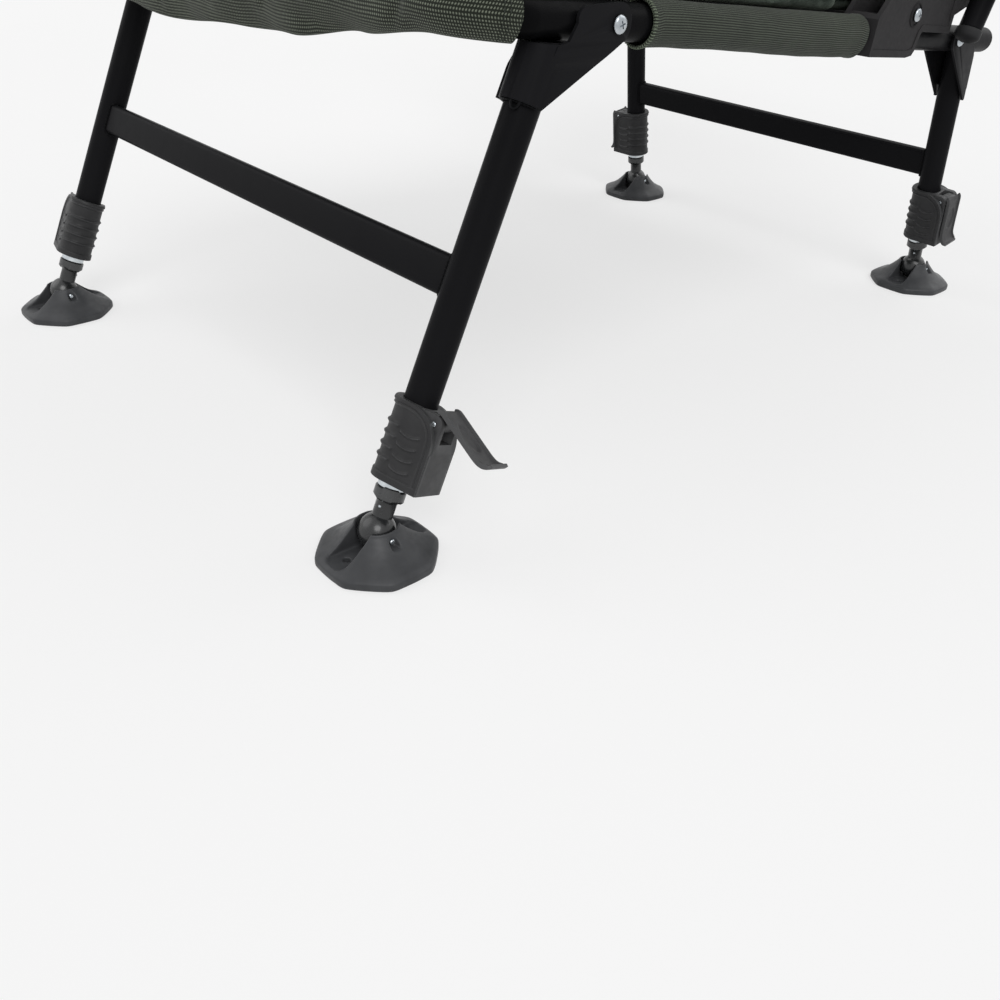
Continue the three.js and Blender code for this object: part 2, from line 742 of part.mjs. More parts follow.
// Mud foot about the ball's centre, with its sole flat on the ground
function mudFoot() {
  const corner = footHalfAcross / Math.cos(Math.PI / 8);
  const sole = -ballHeight;
  const dome = turned(
    [
      [0, sole],
      [corner, sole],
      [corner, sole + footRimHeight],
      [corner - footShoulder, sole + footRimHeight + footShoulder / 2],
      [footMidRadius, -footMidDrop],
      [footTopRadius, footTopRise],
      [0, footTopRise],
    ],
    8,
  ).rotateZ(Math.PI / 8);
  const socket = solid(new THREE.SphereGeometry(socketRadius, 12, 6).rotateX(Math.PI / 2));
  const mouth = solid(bar(socketRadius, 0, footTopRise + overrun, 12));
  const slots = [-1, 1].map((way) => {
    const far = way * footSlotReach;
    const top = ballHeight;
    const trough = solid(
      block(-footSlotHalf, footSlotHalf, Math.min(0, far), Math.max(0, far), -footSlotFloor, top),
    );
    return join(trough, solid(bar(footSlotHalf, -footSlotFloor, top, 12).translate(0, far, 0)));
  });
  const reach = footPinHoleReach;
  const pinHole = solid(crossBar(pinRadius + fitGap, -reach, reach, 8));
  return cut(solid(dome), socket, mouth, ...slots, pinHole);
}

const footPin = () => crossBar(pinRadius, -pinLength / 2, pinLength / 2, 8);

for (const leg of legEnds) {
  const bracket = leg.end === "front" ? frontBracket : rearBracket;
  for (const { name, sign } of sides) {
    const where = `${leg.end}_${name}`;
    addPart(chair, `leg_tube_${where}`, geometryOf(legTube(leg, sign)), finishes.powderCoat);
    addPart(chair, `leg_bracket_${where}`, geometryOf(bracket(leg, sign)), finishes.powderCoat);
    const slider = new THREE.Group();
    slider.applyMatrix4(legFrame(leg, sign));
    chair.add(slider);
    addPart(slider, `inner_leg_${where}`, geometryOf(innerLeg()), finishes.zinc);
    addPart(slider, `ball_plug_${where}`, geometryOf(ballPlug()), finishes.plug);
    const clamp = new THREE.Group();
    clamp.position.z = clampStart;
    clamp.rotation.z = sign * leg.clampTurn;
    slider.add(clamp);
    addPart(clamp, `clamp_body_${where}`, geometryOf(clampBody()), finishes.nylon);
    const pinPlace = [leverPinReach, 0, leverPinRise];
    const pin = bar(leverPinRadius, -clampBoxHalfWidth, clampBoxHalfWidth, 12).rotateX(Math.PI / 2);
    addPart(clamp, `clamp_pin_${where}`, pin, finishes.zinc, pinPlace);
    const lever = addPart(clamp, `clamp_lever_${where}`, geometryOf(clampLever()), finishes.nylon, pinPlace);
    if (where === "front_right") lever.rotation.y = -frontRightLeverOpen;
    const foot = new THREE.Group();
    foot.position.setFromMatrixPosition(legFrame(leg, sign));
    chair.add(foot);
    addPart(foot, `foot_${where}`, geometryOf(mudFoot()), finishes.nylon);
    addPart(foot, `foot_pin_${where}`, footPin(), finishes.zinc);
  }
  addPart(chair, `leg_crossbar_${leg.end}`, geometryOf(legBar(leg)), finishes.powderCoat);
}

// Recliner housing: two plastic cheeks astride the rail, bridged above and below it, and
// a rear ear that carries the back tube on its outboard side. Drawn from the pivot line,
// with the cheeks turned to follow the tapering rail.
function reclinerHousing() {
  const gap = tubeRadius + fitGap;
  const outer = gap + housingWall;
  const shape = new THREE.Shape();
  shape.moveTo(housingFront, -outer);
  shape.lineTo(housingFront, housingKneeRise);
  shape.lineTo(housingFrontKnee, 2 * housingKneeRise);
  shape.lineTo(housingFrontTop, housingTop);
  shape.lineTo(housingRear, housingTop);
  shape.lineTo(housingRear, housingNotchRise);
  shape.lineTo(housingLipEnd + 2 * housingLipDrop - tubeRadius, housingNotchRise);
  shape.lineTo(housingLipEnd, -outer);
  const past = housingRear + overrun;
  const body = solid(plate(shape, -outer, outer));
  const hollow = solid(block(-gap, gap, housingFront - overrun, past, outer, housingTop - housingWall));
  const rail = solid(bar(gap, housingFront - overrun, past, 16).rotateX(-Math.PI / 2));
  const reach = outer + overrun;
  const hole = crossBar(boltRadius + fitGap, -reach, reach, 12);
  const bolt = solid(hole.translate(0, reclinerBoltAlong, reclinerBoltRise));
  const astride = geometryOf(cut(body, hollow, rail, bolt)).translate(0, -backPivotAlong, 0);
  return cut(join(solid(astride.rotateZ(railTaper)), ear()), pivotHole());
}

function ear() {
  const outer = tubeRadius + fitGap + housingWall;
  const from = housingRear - backPivotAlong - 2 * overrun;
  const arm = new THREE.Shape();
  arm.moveTo(from, housingNotchRise + housingKneeRise);
  arm.lineTo(0, backPivotRise - housingEarRadius);
  arm.absarc(0, backPivotRise, housingEarRadius, -Math.PI / 2, Math.PI / 2);
  arm.lineTo(from, housingTop - fitGap);
  const boss = crossBar(pivotBossRadius, outer - housingWall, backOffset - backTubeRadius - fitGap);
  boss.translate(0, 0, backPivotRise);
  return join(solid(plate(arm, outer - housingWall, outer + fitGap)), solid(boss));
}

function pivotHole() {
  const reach = backOffset + backTubeRadius;
  return solid(crossBar(boltRadius + fitGap, -reach, reach, 12).translate(0, 0, backPivotRise));
}

const pivotHalf = railHalf(backPivotAlong);
for (const { name, sign } of sides) {
  const housing = geometryOf(reclinerHousing());
  if (sign < 0) housing.scale(-1, 1, 1);
  const handed = sign < 0 ? geometryOf(solid(housing)) : housing;
  addPart(seat, `recliner_housing_${name}`, handed, finishes.housing, [sign * pivotHalf, backPivotAlong, 0]);
  const grip = tubeRadius + 2 * fitGap + housingWall;
  const bolt = mirroredX(crossBolt(grip), sign).rotateZ(sign * railTaper);
  const ahead = backPivotAlong - reclinerBoltAlong;
  const place = [
    sign * (pivotHalf + ahead * Math.sin(railTaper)),
    backPivotAlong - ahead * Math.cos(railTaper),
    reclinerBoltRise,
  ];
  addPart(seat, `recliner_bolt_${name}`, bolt, finishes.zinc, place);
}

// Back frame, turned about its pivot line
const back = new THREE.Group();
back.position.copy(inSeat(0, backPivotAlong, backPivotRise));
back.rotation.x = -backLean;
chair.add(back);

const backHalf = pivotHalf + backOffset;

// How far an upright's axis is from the middle, at a height above the pivot
function uprightHalf(height) {
  const bent = THREE.MathUtils.clamp(height, backBendStart, backBendEnd) - backBendStart;
  return backHalf + Math.tan(railTaper) * bent;
}
const backWideHalf = uprightHalf(backBendEnd);

function backPath() {
  const half = [];
  const steps = 5;
  for (let i = 0; i <= steps; i += 1) {
    const angle = (i / steps) * (Math.PI / 2);
    const x = backWideHalf - backCornerRadius * (1 - Math.sin(angle));
    half.push(point(x, 0, backHeight - backCornerRadius * (1 - Math.cos(angle))));
  }
  half.push(point(backWideHalf, 0, backBendEnd), point(backHalf, 0, backBendStart));
  half.push(point(backHalf, 0, -backTailLength));
  const mirrored = half.map((p) => point(-p.x, p.y, p.z)).reverse();
  return [...mirrored, ...half];
}

const backUp = point(0, 1, 0);
const backPivotHole = solid(crossBar(boltRadius + fitGap, -2 * backHalf, 2 * backHalf, 12));
const backTube = cut(sweptTube(backPath(), backUp, backTubeRadius, backTubeWall, railSides), backPivotHole);
addPart(back, "back_frame", geometryOf(backTube), finishes.powderCoat);

for (const { name, sign } of sides) {
  const plugRadius = (backTubeRadius - backTubeWall) * Math.cos(Math.PI / railSides) - fitGap;
  const cap = turned(
    [
      [0, -backCapLength / 3],
      [backCapRadius * capDomeShare, -backCapLength / 3],
      [backCapRadius, 0],
      [backCapRadius, backCapLength / 3],
      [backTubeRadius, backCapLength / 3 + fitGap],
      [plugRadius, backCapLength / 3 + fitGap],
      [plugRadius, backCapLength],
      [0, backCapLength],
    ],
    12,
  );
  const seatOn = -backTailLength - backCapLength / 3 - 2 * fitGap;
  addPart(back, `back_tube_cap_${name}`, cap, finishes.nylon, [sign * backHalf, 0, seatOn]);
  const outGrip = backOffset + backTubeRadius + fitGap;
  const inGrip = -(tubeRadius - fitGap);
  const bolt = mirroredX(crossBolt(outGrip, inGrip), sign);
  addPart(back, `back_pivot_bolt_${name}`, bolt, finishes.zinc, [sign * pivotHalf, 0, 0]);
}

// How much a padded form is filled at a place, 0 at its edge to 1 well inside
function fill(u, v, half, length, corner) {
  const near = Math.min((1 - Math.abs(u)) * half, v * length, (1 - v) * length);
  const share = THREE.MathUtils.clamp(near / corner, 0, 1);
  return Math.sqrt(1 - (1 - share) ** 2);
}

// Moves places in the first and last of some bands closer to the two ends
function crowded(place, bands) {
  if (place < 1) return place ** 2;
  return place > bands - 1 ? bands - (bands - place) ** 2 : place;
}

// A padded form whose half width is given at each distance along it. Its edge stands
// at base + edge / 2, the underside is nearly flat, and channels run from side to side.
function cushion({ halfAt, start, end, base, edge, crown, channels }) {
  const [columns, bands] = [14, channels + 1];
  const rows = 5 * bands;
  const length = end - start;
  const positions = [];
  const put = (row, column, top) => {
    const v = crowded((bands * row) / rows, bands) / bands;
    const u = Math.sin(Math.PI * (column / columns - 1 / 2));
    const along = start + v * length;
    const half = halfAt(along);
    const sideDraw = cushionDrawIn * Math.sin(Math.PI * v) ** 2 * Math.abs(u) ** 4 * Math.sign(u);
    const endDraw = cushionDrawIn * (1 - u * u) * (2 * v - 1) ** 3;
    const cornerDraw = cushionCornerDraw * Math.abs(2 * v - 1) ** 8 * Math.abs(u) ** 8 * Math.sign(u);
    const full = fill(u, v, half, length, top ? cushionCorner : cushionUnderCorner);
    const seam = Math.sqrt(Math.abs(Math.sin(Math.PI * bands * v)));
    const swell = (edge / 2 + crown) * full - channelDepth * full * (1 - seam);
    const rise = base + edge / 2 + (top ? swell : -(edge / 2) * full);
    positions.push(u * half - sideDraw - cornerDraw, along - endDraw, rise);
  };
  for (const top of [true, false]) {
    for (let row = 0; row <= rows; row += 1) {
      for (let column = 0; column <= columns; column += 1) put(row, column, top);
    }
  }
  return geometryOf(solid(pairedSheets(positions, columns, rows)));
}

// Closes an upper and a lower grid of points, given one after the other, into one body.
// Where the two grids share their rims the walls between them fold away.
function pairedSheets(positions, columns, rows) {
  const index = [];
  const across = columns + 1;
  const under = (rows + 1) * across;
  const wall = (a, b) => index.push(a, a + under, b, b, a + under, b + under);
  for (let row = 0; row < rows; row += 1) {
    for (let column = 0; column < columns; column += 1) {
      const p = row * across + column;
      const q = p + across;
      index.push(p, p + 1, q, p + 1, q + 1, q);
      index.push(under + p, under + q, under + p + 1, under + p + 1, under + q, under + q + 1);
    }
    wall(row * across + across, row * across);
    wall(row * across + columns, row * across + columns + across);
  }
  for (let column = 0; column < columns; column += 1) {
    wall(column, column + 1);
    wall(rows * across + column + 1, rows * across + column);
  }
  const geometry = new THREE.BufferGeometry();
  geometry.setAttribute("position", new THREE.Float32BufferAttribute(positions, 3));
  geometry.setIndex(index);
  return geometry;
}

// The inboard face of the recliner housing, seen from the chair's middle
const housingInner = (along) => railHalf(along) - (tubeRadius + fitGap + housingWall) / Math.cos(railTaper);

// The seat cushion lies over the rails, then narrows to pass between the housings
function seatCushionHalf(along) {
  const wide = railHalf(along) + cushionOverRail;
  const narrow = housingInner(along) - cushionHousingGap;
  const share = THREE.MathUtils.clamp((along - cushionTaperStart) / (housingFront - cushionTaperStart), 0, 1);
  return wide + (narrow - wide) * share * share * (3 - 2 * share);
}

const seatPad = cushion({
  halfAt: seatCushionHalf,
  start: seatCushionFront,
  end: seatCushionRear,
  base: sleeveRadius + fitGap,
  edge: seatCushionEdge,
  crown: seatCushionCrown,
  channels: seatChannels,
});
addPart(seat, "seat_cushion", seatPad, finishes.padding);

// The back cushion is drawn lying down, then stood up in front of the back frame
const backPad = cushion({
  halfAt: (height) => uprightHalf(height) + cushionOverRail,
  start: backCushionLow,
  end: backCushionHigh,
  base: backSleeveRadius + fitGap,
  edge: backCushionEdge,
  crown: backCushionCrown,
  channels: backChannels,
});
backPad.rotateX(Math.PI / 2);
addPart(back, "back_cushion", backPad, finishes.padding);

// Seat sling: side sleeves round the rails, cloth hung over the front rail in folds,
// and a shallow panel between them
function seatSling() {
  const sleeves = sides.map(({ sign }) => {
    const path = [sideSleeveStart, sideSleeveEnd].map((along) => point(sign * railHalf(along), along, 0));
    return solid(sweptRod(path, seatUp, sleeveRadius, railSides));
  });
  return cut(join(...sleeves, slingPanel(), frontCloth()), railClearance(fitGap));
}

// The panel runs into the rails' sleeves at its sides, stays inboard of the leg
// brackets in front of them, and clears the housings behind them
function slingPanel() {
  const besideBracket = (along) => railHalf(along) - cheekOuter - nutHeight - bracketGap;
  const besideHousing = (along) => housingInner(along) - slingHousingGap;
  const inSleeve = (along) => railHalf(along) - tubeRadius / 2;
  const sleeved = panelStationShares.map((share) => {
    const along = sideSleeveStart + overrun + share * (sideSleeveEnd - sideSleeveStart - 2 * overrun);
    return [along, inSleeve(along)];
  });
  const stations = [
    [slingFront, seatHalfFront - seatCornerRadius],
    [seatCornerRadius, besideBracket(frontBoltAlong)],
    [sideSleeveStart, besideBracket(frontBoltAlong)],
    ...sleeved,
    [housingFront - slingHousingGap, besideHousing(housingFront)],
    [slingRear, besideHousing(slingRear)],
  ];
  const columns = 8;
  const positions = [];
  for (const top of [true, false]) {
    for (const [along, half] of stations) {
      const v = (along - slingFront) / (slingRear - slingFront);
      for (let column = 0; column <= columns; column += 1) {
        const u = (2 * column) / columns - 1;
        const sag = Math.sin(Math.PI * THREE.MathUtils.lerp(...slingSagShares, v));
        const rise = -slingDrop * (1 - u * u) * sag;
        positions.push(u * half, along, rise + (top ? slingThickness : 0));
      }
    }
  }
  return solid(pairedSheets(positions, columns, stations.length - 1));
}

// Share of the hang at a place along the front cloth, between the listed pairs
function hangShare(place) {
  const next = Math.max(1, frontHangShares.findIndex(([at]) => at >= place));
  const [fromPlace, fromShare] = frontHangShares[next - 1];
  const [toPlace, toShare] = frontHangShares[next];
  const share = THREE.MathUtils.smoothstep(place, fromPlace, toPlace);
  return fromShare + (toShare - fromShare) * share;
}

// The cloth that wraps the front rail and its corners: at each place along them, a
// drooping loop, with pleats in the part that hangs
function frontCloth() {
  const [stations, around] = [24, 10];
  const straight = seatHalfFront - seatCornerRadius;
  const reach = straight + seatCornerRadius * frontSleeveTurn;
  const rings = [];
  for (let i = 0; i <= stations; i += 1) {
    const v = i / stations;
    const s = reach * (2 * v - 1);
    const turn = Math.max(0, Math.abs(s) - straight) / seatCornerRadius;
    const { x: cornerX, y: along } = onCorner(turn);
    const x = turn > 0 ? Math.sign(s) * cornerX : s;
    const outward = point(Math.sign(s) * Math.sin(turn), -Math.cos(turn), 0);
    const hang = frontHang * hangShare(v);
    const pleat = frontPleat * Math.sin(2 * Math.PI * frontPleats * v) * Math.sin(Math.PI * v);
    for (let k = 0; k < around; k += 1) {
      const angle = (2 * Math.PI * k) / around;
      const [out, z] = [sleeveRadius * Math.cos(angle), sleeveRadius * Math.sin(angle)];
      const low = Math.max(0, -z / sleeveRadius);
      const reachOut = out * (1 - low / 4) + pleat * low;
      rings.push(x + outward.x * reachOut, along + outward.y * reachOut, z - (hang - sleeveRadius) * low);
    }
  }
  const index = [];
  for (let i = 0; i < stations; i += 1) {
    for (let k = 0; k < around; k += 1) {
      const next = (k + 1) % around;
      const [p, q] = [i * around + k, i * around + next];
      index.push(p, p + around, q, q, p + around, q + around);
    }
  }
  const last = stations * around;
  for (let k = 1; k < around - 1; k += 1) index.push(0, k, k + 1, last, last + k + 1, last + k);
  const geometry = new THREE.BufferGeometry();
  geometry.setAttribute("position", new THREE.Float32BufferAttribute(rings, 3));
  geometry.setIndex(index);
  return solid(geometry);
}
addPart(seat, "seat_fabric", geometryOf(seatSling()), finishes.weave);

// Back sling: a panel behind the cushion, sleeved over the two uprights, and narrowed
// at its foot to pass between the housings when the back folds down
function backSling() {
  const clearance = solid(
    sweptRod(lengthened(backPath(), overrun), backUp, backTubeRadius + fitGap, railSides),
  );
  const sleeves = sides.map(({ sign }) => {
    const path = [backSleeveLow, backSleeveTop].map((z) => point(sign * backWideHalf, 0, z));
    return solid(sweptRod(path, backUp, backSleeveRadius, railSides));
  });
  const narrow = housingInner(housingRear) - slingHousingGap;
  const wide = backWideHalf - backTubeRadius / 2;
  const edge = [
    new THREE.Vector2(narrow, backSlingLow),
    new THREE.Vector2(narrow, backBendEnd),
    new THREE.Vector2(wide, backSleeveLow),
    new THREE.Vector2(wide, backSleeveTop - backSlingEdge),
  ];
  const outline = new THREE.Shape([...edge, ...edge.map(({ x, y }) => new THREE.Vector2(-x, y)).reverse()]);
  const panel = upright(outline, slingThickness / 2);
  return cut(join(...sleeves, solid(panel)), clearance);
}
addPart(back, "back_fabric", geometryOf(backSling()), finishes.weave);

// The chair stands with its lowest point at z = 0 and its box's middle on the Z axis
chair.updateMatrixWorld(true);
const extent = new THREE.Box3().setFromObject(chair, true);
const middle = extent.getCenter(new THREE.Vector3());
const model = new THREE.Group();
chair.position.set(-middle.x, -middle.y, -extent.min.z);
model.add(chair);
model.updateMatrixWorld(true);

export default model;
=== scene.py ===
"""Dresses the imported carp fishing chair: round tube and sheet metal, moulded clamps and
mud feet, woven seat cloth and two padded cushions, in a plain pale studio.

Sizes are in millimetres unless a name ends in _m. Each sub-assembly is drawn in its own
frame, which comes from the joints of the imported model, and its meshes are then in metres.
"""

from __future__ import annotations

import json
import logging
import math
from dataclasses import dataclass, field
from enum import Enum
from typing import Callable, Sequence

import bmesh
import bpy
from mathutils import Matrix, Vector, noise
from mathutils.bvhtree import BVHTree

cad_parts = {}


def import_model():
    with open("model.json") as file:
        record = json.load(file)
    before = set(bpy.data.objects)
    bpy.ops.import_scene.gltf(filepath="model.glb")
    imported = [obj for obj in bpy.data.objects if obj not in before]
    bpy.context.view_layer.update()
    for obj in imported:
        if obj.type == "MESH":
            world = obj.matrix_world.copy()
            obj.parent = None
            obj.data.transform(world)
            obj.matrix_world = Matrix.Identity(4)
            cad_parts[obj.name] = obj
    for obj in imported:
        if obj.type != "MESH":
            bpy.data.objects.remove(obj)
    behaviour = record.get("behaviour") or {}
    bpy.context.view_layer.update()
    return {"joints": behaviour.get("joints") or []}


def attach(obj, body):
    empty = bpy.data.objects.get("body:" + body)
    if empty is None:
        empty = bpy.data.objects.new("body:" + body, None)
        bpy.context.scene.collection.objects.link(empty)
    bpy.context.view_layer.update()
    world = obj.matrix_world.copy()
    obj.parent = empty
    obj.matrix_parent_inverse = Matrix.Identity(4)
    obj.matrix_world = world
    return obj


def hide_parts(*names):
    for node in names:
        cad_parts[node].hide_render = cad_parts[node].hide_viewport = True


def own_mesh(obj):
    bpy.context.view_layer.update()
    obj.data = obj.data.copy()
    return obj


LOG = logging.getLogger("chair")
MM = 0.001
IDENTITY = Matrix.Identity(4)
X, Y, Z = Vector((1, 0, 0)), Vector((0, 1, 0)), Vector((0, 0, 1))
SOFT_ANGLE = 60.0  # degrees up to which cloth and soft edges shade smooth
NOISE = (0.3, 0.7)  # what a noise texture mostly spans
Outline = list[tuple[float, float]]


# Forms: points and faces in millimetres


@dataclass
class Form:
    """Points in millimetres, the faces between them, and each point's place on the cloth's threads."""

    points: list[Vector] = field(default_factory=list)
    faces: list[tuple[int, ...]] = field(default_factory=list)
    threads: list[Vector] = field(default_factory=list)

    def add(self, other: Form) -> Form:
        """Takes another form's points and faces in.

        Args:
            other: The other form.

        Returns:
            This form.
        """
        start = len(self.points)
        self.points += other.points
        self.faces += [tuple(start + i for i in face) for face in other.faces]
        self.threads += other.threads
        return self

    def moved(self, place: Matrix) -> Form:
        """A copy of the form in another place."""
        return Form([place @ p for p in self.points], list(self.faces), list(self.threads))


class Plane(Enum):
    """The plane an outline is drawn in. It is pulled square to it."""

    XY = "pulled along Z"
    XZ = "pulled along Y"
    YZ = "pulled along X"

    def point(self, u: float, v: float, w: float) -> Vector:
        """The point at (u, v) in the plane, pulled w out of it."""
        return {Plane.XY: Vector((u, v, w)), Plane.XZ: Vector((u, w, v)), Plane.YZ: Vector((w, u, v))}[self]


def arc(centre: tuple[float, float], radius: float, start: float, end: float, steps: int = 12) -> Outline:
    """Points along an arc.

    Args:
        centre: The arc's middle.
        radius: Its radius.
        start: The angle it starts at, in degrees.
        end: The angle it ends at, in degrees.
        steps: How many stretches it is drawn with.

    Returns:
        The points, from start to end.
    """
    turns = [math.radians(start + (end - start) * i / steps) for i in range(steps + 1)]
    return [(centre[0] + radius * math.cos(t), centre[1] + radius * math.sin(t)) for t in turns]


def prism(outline: Outline, low: float, high: float, plane: Plane) -> Form:
    """A closed body: an outline pulled from one height to another.

    Args:
        outline: The outline's corners in order.
        low: Where the body starts, square to the plane.
        high: Where it ends.
        plane: The plane the outline is drawn in.

    Returns:
        The body's form.
    """
    count = len(outline)
    points = [plane.point(u, v, w) for w in (low, high) for u, v in outline]
    walls = [(i, (i + 1) % count, (i + 1) % count + count, i + count) for i in range(count)]
    return Form(points, [tuple(reversed(range(count))), tuple(range(count, 2 * count))] + walls)


def rings(loops: Sequence[Sequence[Vector]], closed: bool, capped: bool = True) -> Form:
    """Skins a row of loops that have the same number of points.

    Args:
        loops: The loops in order.
        closed: Whether each loop joins its own ends.
        capped: Whether the first and last loop are filled.

    Returns:
        The skin's form.
    """
    count = len(loops[0])
    points = [p for loop in loops for p in loop]
    faces: list[tuple[int, ...]] = []
    for i in range(len(loops) - 1):
        for k in range(count if closed else count - 1):
            a, b = i * count + k, i * count + (k + 1) % count
            faces.append((a, b, b + count, a + count))
    if capped:
        faces += [tuple(reversed(range(count))), tuple(range(len(points) - count, len(points)))]
    return Form(points, faces)


def lathe(outline: Outline, segments: int = 48) -> Form:
    """Turns an outline about Z.

    Args:
        outline: Pairs of radius and height, from one end on the axis to the other.
        segments: How many flats go round.

    Returns:
        The turned body's form.
    """
    loops = []
    for radius, height in outline:
        turns = [2 * math.pi * k / segments for k in range(segments)]
        loops.append([Vector((radius * math.cos(t), radius * math.sin(t), height)) for t in turns])
    return rings(loops, closed=True)


def turned_tube(radius: float, wall: float, low: float, high: float, segments: int = 48) -> Form:
    """A length of round tube along Z with its edges broken.

    Args:
        radius: Its outer radius.
        wall: Its wall.
        low: Its lower end.
        high: Its upper end.
        segments: How many flats go round.

    Returns:
        The tube's form, open through the middle.
    """
    edge, inner = 0.3, radius - wall
    outline = [(inner, low), (radius - edge, low), (radius, low + edge), (radius, high - edge)]
    outline += [(radius - edge, high), (inner, high), (inner, low)]
    form = lathe(outline, segments)
    form.faces = form.faces[:-2]
    return form


def frames_along(path: Sequence[Vector], closed: bool, up: Vector) -> list[tuple[Vector, Vector]]:
    """Two directions square to a path at each of its points, that turn as little as they can.

    Args:
        path: The path's points.
        closed: Whether its end joins its start.
        up: A direction that the second of each pair keeps near to at the start.

    Returns:
        For each point, a direction across and a direction up.
    """
    count, found, rise = len(path), [], up
    for i, _ in enumerate(path):
        ahead = path[(i + 1) % count] if closed or i + 1 < count else path[i]
        behind = path[i - 1] if closed or i else path[i]
        along = (ahead - behind).normalized()
        across = rise.cross(along).normalized()
        rise = along.cross(across).normalized()
        found.append((across, rise))
    return found


def swept(
    path: Sequence[Vector],
    radius: Callable[[int], float] | float,
    up: Vector = Z,
    segments: int = 32,
    closed: bool = False,
    capped: bool = True,
) -> Form:
    """A round rod along a path.

    Args:
        path: The path's points.
        radius: Its radius, or the radius at each point's number.
        up: A direction that the section keeps to at the start.
        segments: How many flats go round.
        closed: Whether the path's end joins its start.
        capped: Whether an open path's ends are filled.

    Returns:
        The rod's form.
    """
    size = radius if callable(radius) else lambda _: radius
    loops = []
    for i, (across, rise) in enumerate(frames_along(path, closed, up)):
        turns = [2 * math.pi * k / segments for k in range(segments)]
        loops.append([path[i] + (across * math.cos(t) + rise * math.sin(t)) * size(i) for t in turns])
    if closed:
        return rings([*loops, loops[0]], closed=True, capped=False)
    return rings(loops, closed=True, capped=capped)


def swept_tube(path: Sequence[Vector], radius: float, wall: float, up: Vector) -> Form:
    """A round tube along a path, with open ends and a wall.

    Args:
        path: The path's points.
        radius: Its outer radius.
        wall: Its wall.
        up: A direction square to the path.

    Returns:
        The tube's form.
    """
    outer = swept(path, radius, up, 48, capped=False)
    inner = swept(path, radius - wall, up, 48, capped=False)
    inner.faces = [tuple(reversed(face)) for face in inner.faces]
    count, last = len(outer.points), len(outer.points) - 48
    form = outer.add(inner)
    for k in range(48):
        n = (k + 1) % 48
        form.faces += [(n, k, count + k, count + n), (last + k, last + n, count + last + n, count + last + k)]
    return form


def grid(columns: int, rows: int, place: Callable[[float, float], Vector]) -> Form:
    """A sheet of cloth drawn as a grid, with each point's place on its threads.

    Args:
        columns: Faces across.
        rows: Faces along.
        place: Gives a point for shares from 0 to 1 across and along.

    Returns:
        The sheet's form.
    """
    lines = [[place(k / columns, i / rows) for k in range(columns + 1)] for i in range(rows + 1)]
    form, across = Form(), columns + 1
    down = [0.0] * across
    for i, line in enumerate(lines):
        if i:
            down = [down[k] + (line[k] - lines[i - 1][k]).length for k in range(across)]
        along = [0.0]
        for a, b in zip(line, line[1:]):
            along.append(along[-1] + (b - a).length)
        form.points += line
        form.threads += [Vector((along[k] - along[columns // 2], down[k], 0)) for k in range(across)]
    for i in range(rows):
        for k in range(columns):
            corner = i * across + k
            form.faces.append((corner, corner + 1, corner + across + 1, corner + across))
    return form


# Objects


def made(name: str, form: Form, place: Matrix = IDENTITY, sharp: float = 35.0) -> bpy.types.Object:
    """Makes a smooth shaded object whose mesh is in metres.

    Args:
        name: The object's name.
        form: Its shape in millimetres.
        place: The form's frame, in millimetres.
        sharp: Edges that turn by more than this many degrees stay sharp.

    Returns:
        The new object.
    """
    mesh = bpy.data.meshes.new(name)
    mesh.from_pydata([place @ p * MM for p in form.points], [], form.faces)
    if form.threads:
        threads = mesh.attributes.new("threads", "FLOAT_VECTOR", "POINT")
        threads.data.foreach_set("vector", [c for p in form.threads for c in p])
    work = bmesh.new()
    work.from_mesh(mesh)
    bmesh.ops.remove_doubles(work, verts=work.verts, dist=1e-6)
    if not form.threads:
        bmesh.ops.recalc_face_normals(work, faces=work.faces)
    work.to_mesh(mesh)
    work.free()
    obj = bpy.data.objects.new(name, mesh)
    bpy.context.scene.collection.objects.link(obj)
    return shaded(obj, sharp)


def shaded(obj: bpy.types.Object, sharp: float = 35.0) -> bpy.types.Object:
    """Shades an object smooth up to an angle.

    Args:
        obj: The object.
        sharp: The angle in degrees.

    Returns:
        The same object.
    """
    obj.data.shade_smooth()
    obj.data.set_sharp_from_angle(angle=math.radians(sharp))
    return obj


def frozen(obj: bpy.types.Object, sharp: float = 35.0) -> bpy.types.Object:
    """Applies an object's modifiers and returns it.

    Args:
        obj: The object.
        sharp: Edges that turn by more than this many degrees stay sharp.

    Returns:
        The same object with its final mesh.
    """
    graph = bpy.context.evaluated_depsgraph_get()
    graph.update()
    result = bpy.data.meshes.new_from_object(
        obj.evaluated_get(graph), preserve_all_data_layers=True, depsgraph=graph
    )
    obj.modifiers.clear()
    before, obj.data = obj.data, result
    bpy.data.meshes.remove(before)
    result.name = obj.name
    return shaded(obj, sharp)


class Joining(Enum):
    """How a boolean takes the other body."""

    CUT = "DIFFERENCE"
    FUSE = "UNION"


def combined(obj: bpy.types.Object, how: Joining, *others: bpy.types.Object) -> bpy.types.Object:
    """Cuts other bodies out of an object, or fuses them to it, and deletes them.

    Args:
        obj: The object that is kept.
        how: Cut or fuse.
        others: The bodies it is combined with.

    Returns:
        The same object.
    """
    for other in others:
        modifier = obj.modifiers.new("combine", "BOOLEAN")
        modifier.operation = how.value
        modifier.solver = "EXACT"
        modifier.object = other
    frozen(obj)
    for other in others:
        mesh = other.data
        bpy.data.objects.remove(other)
        bpy.data.meshes.remove(mesh)
    return obj


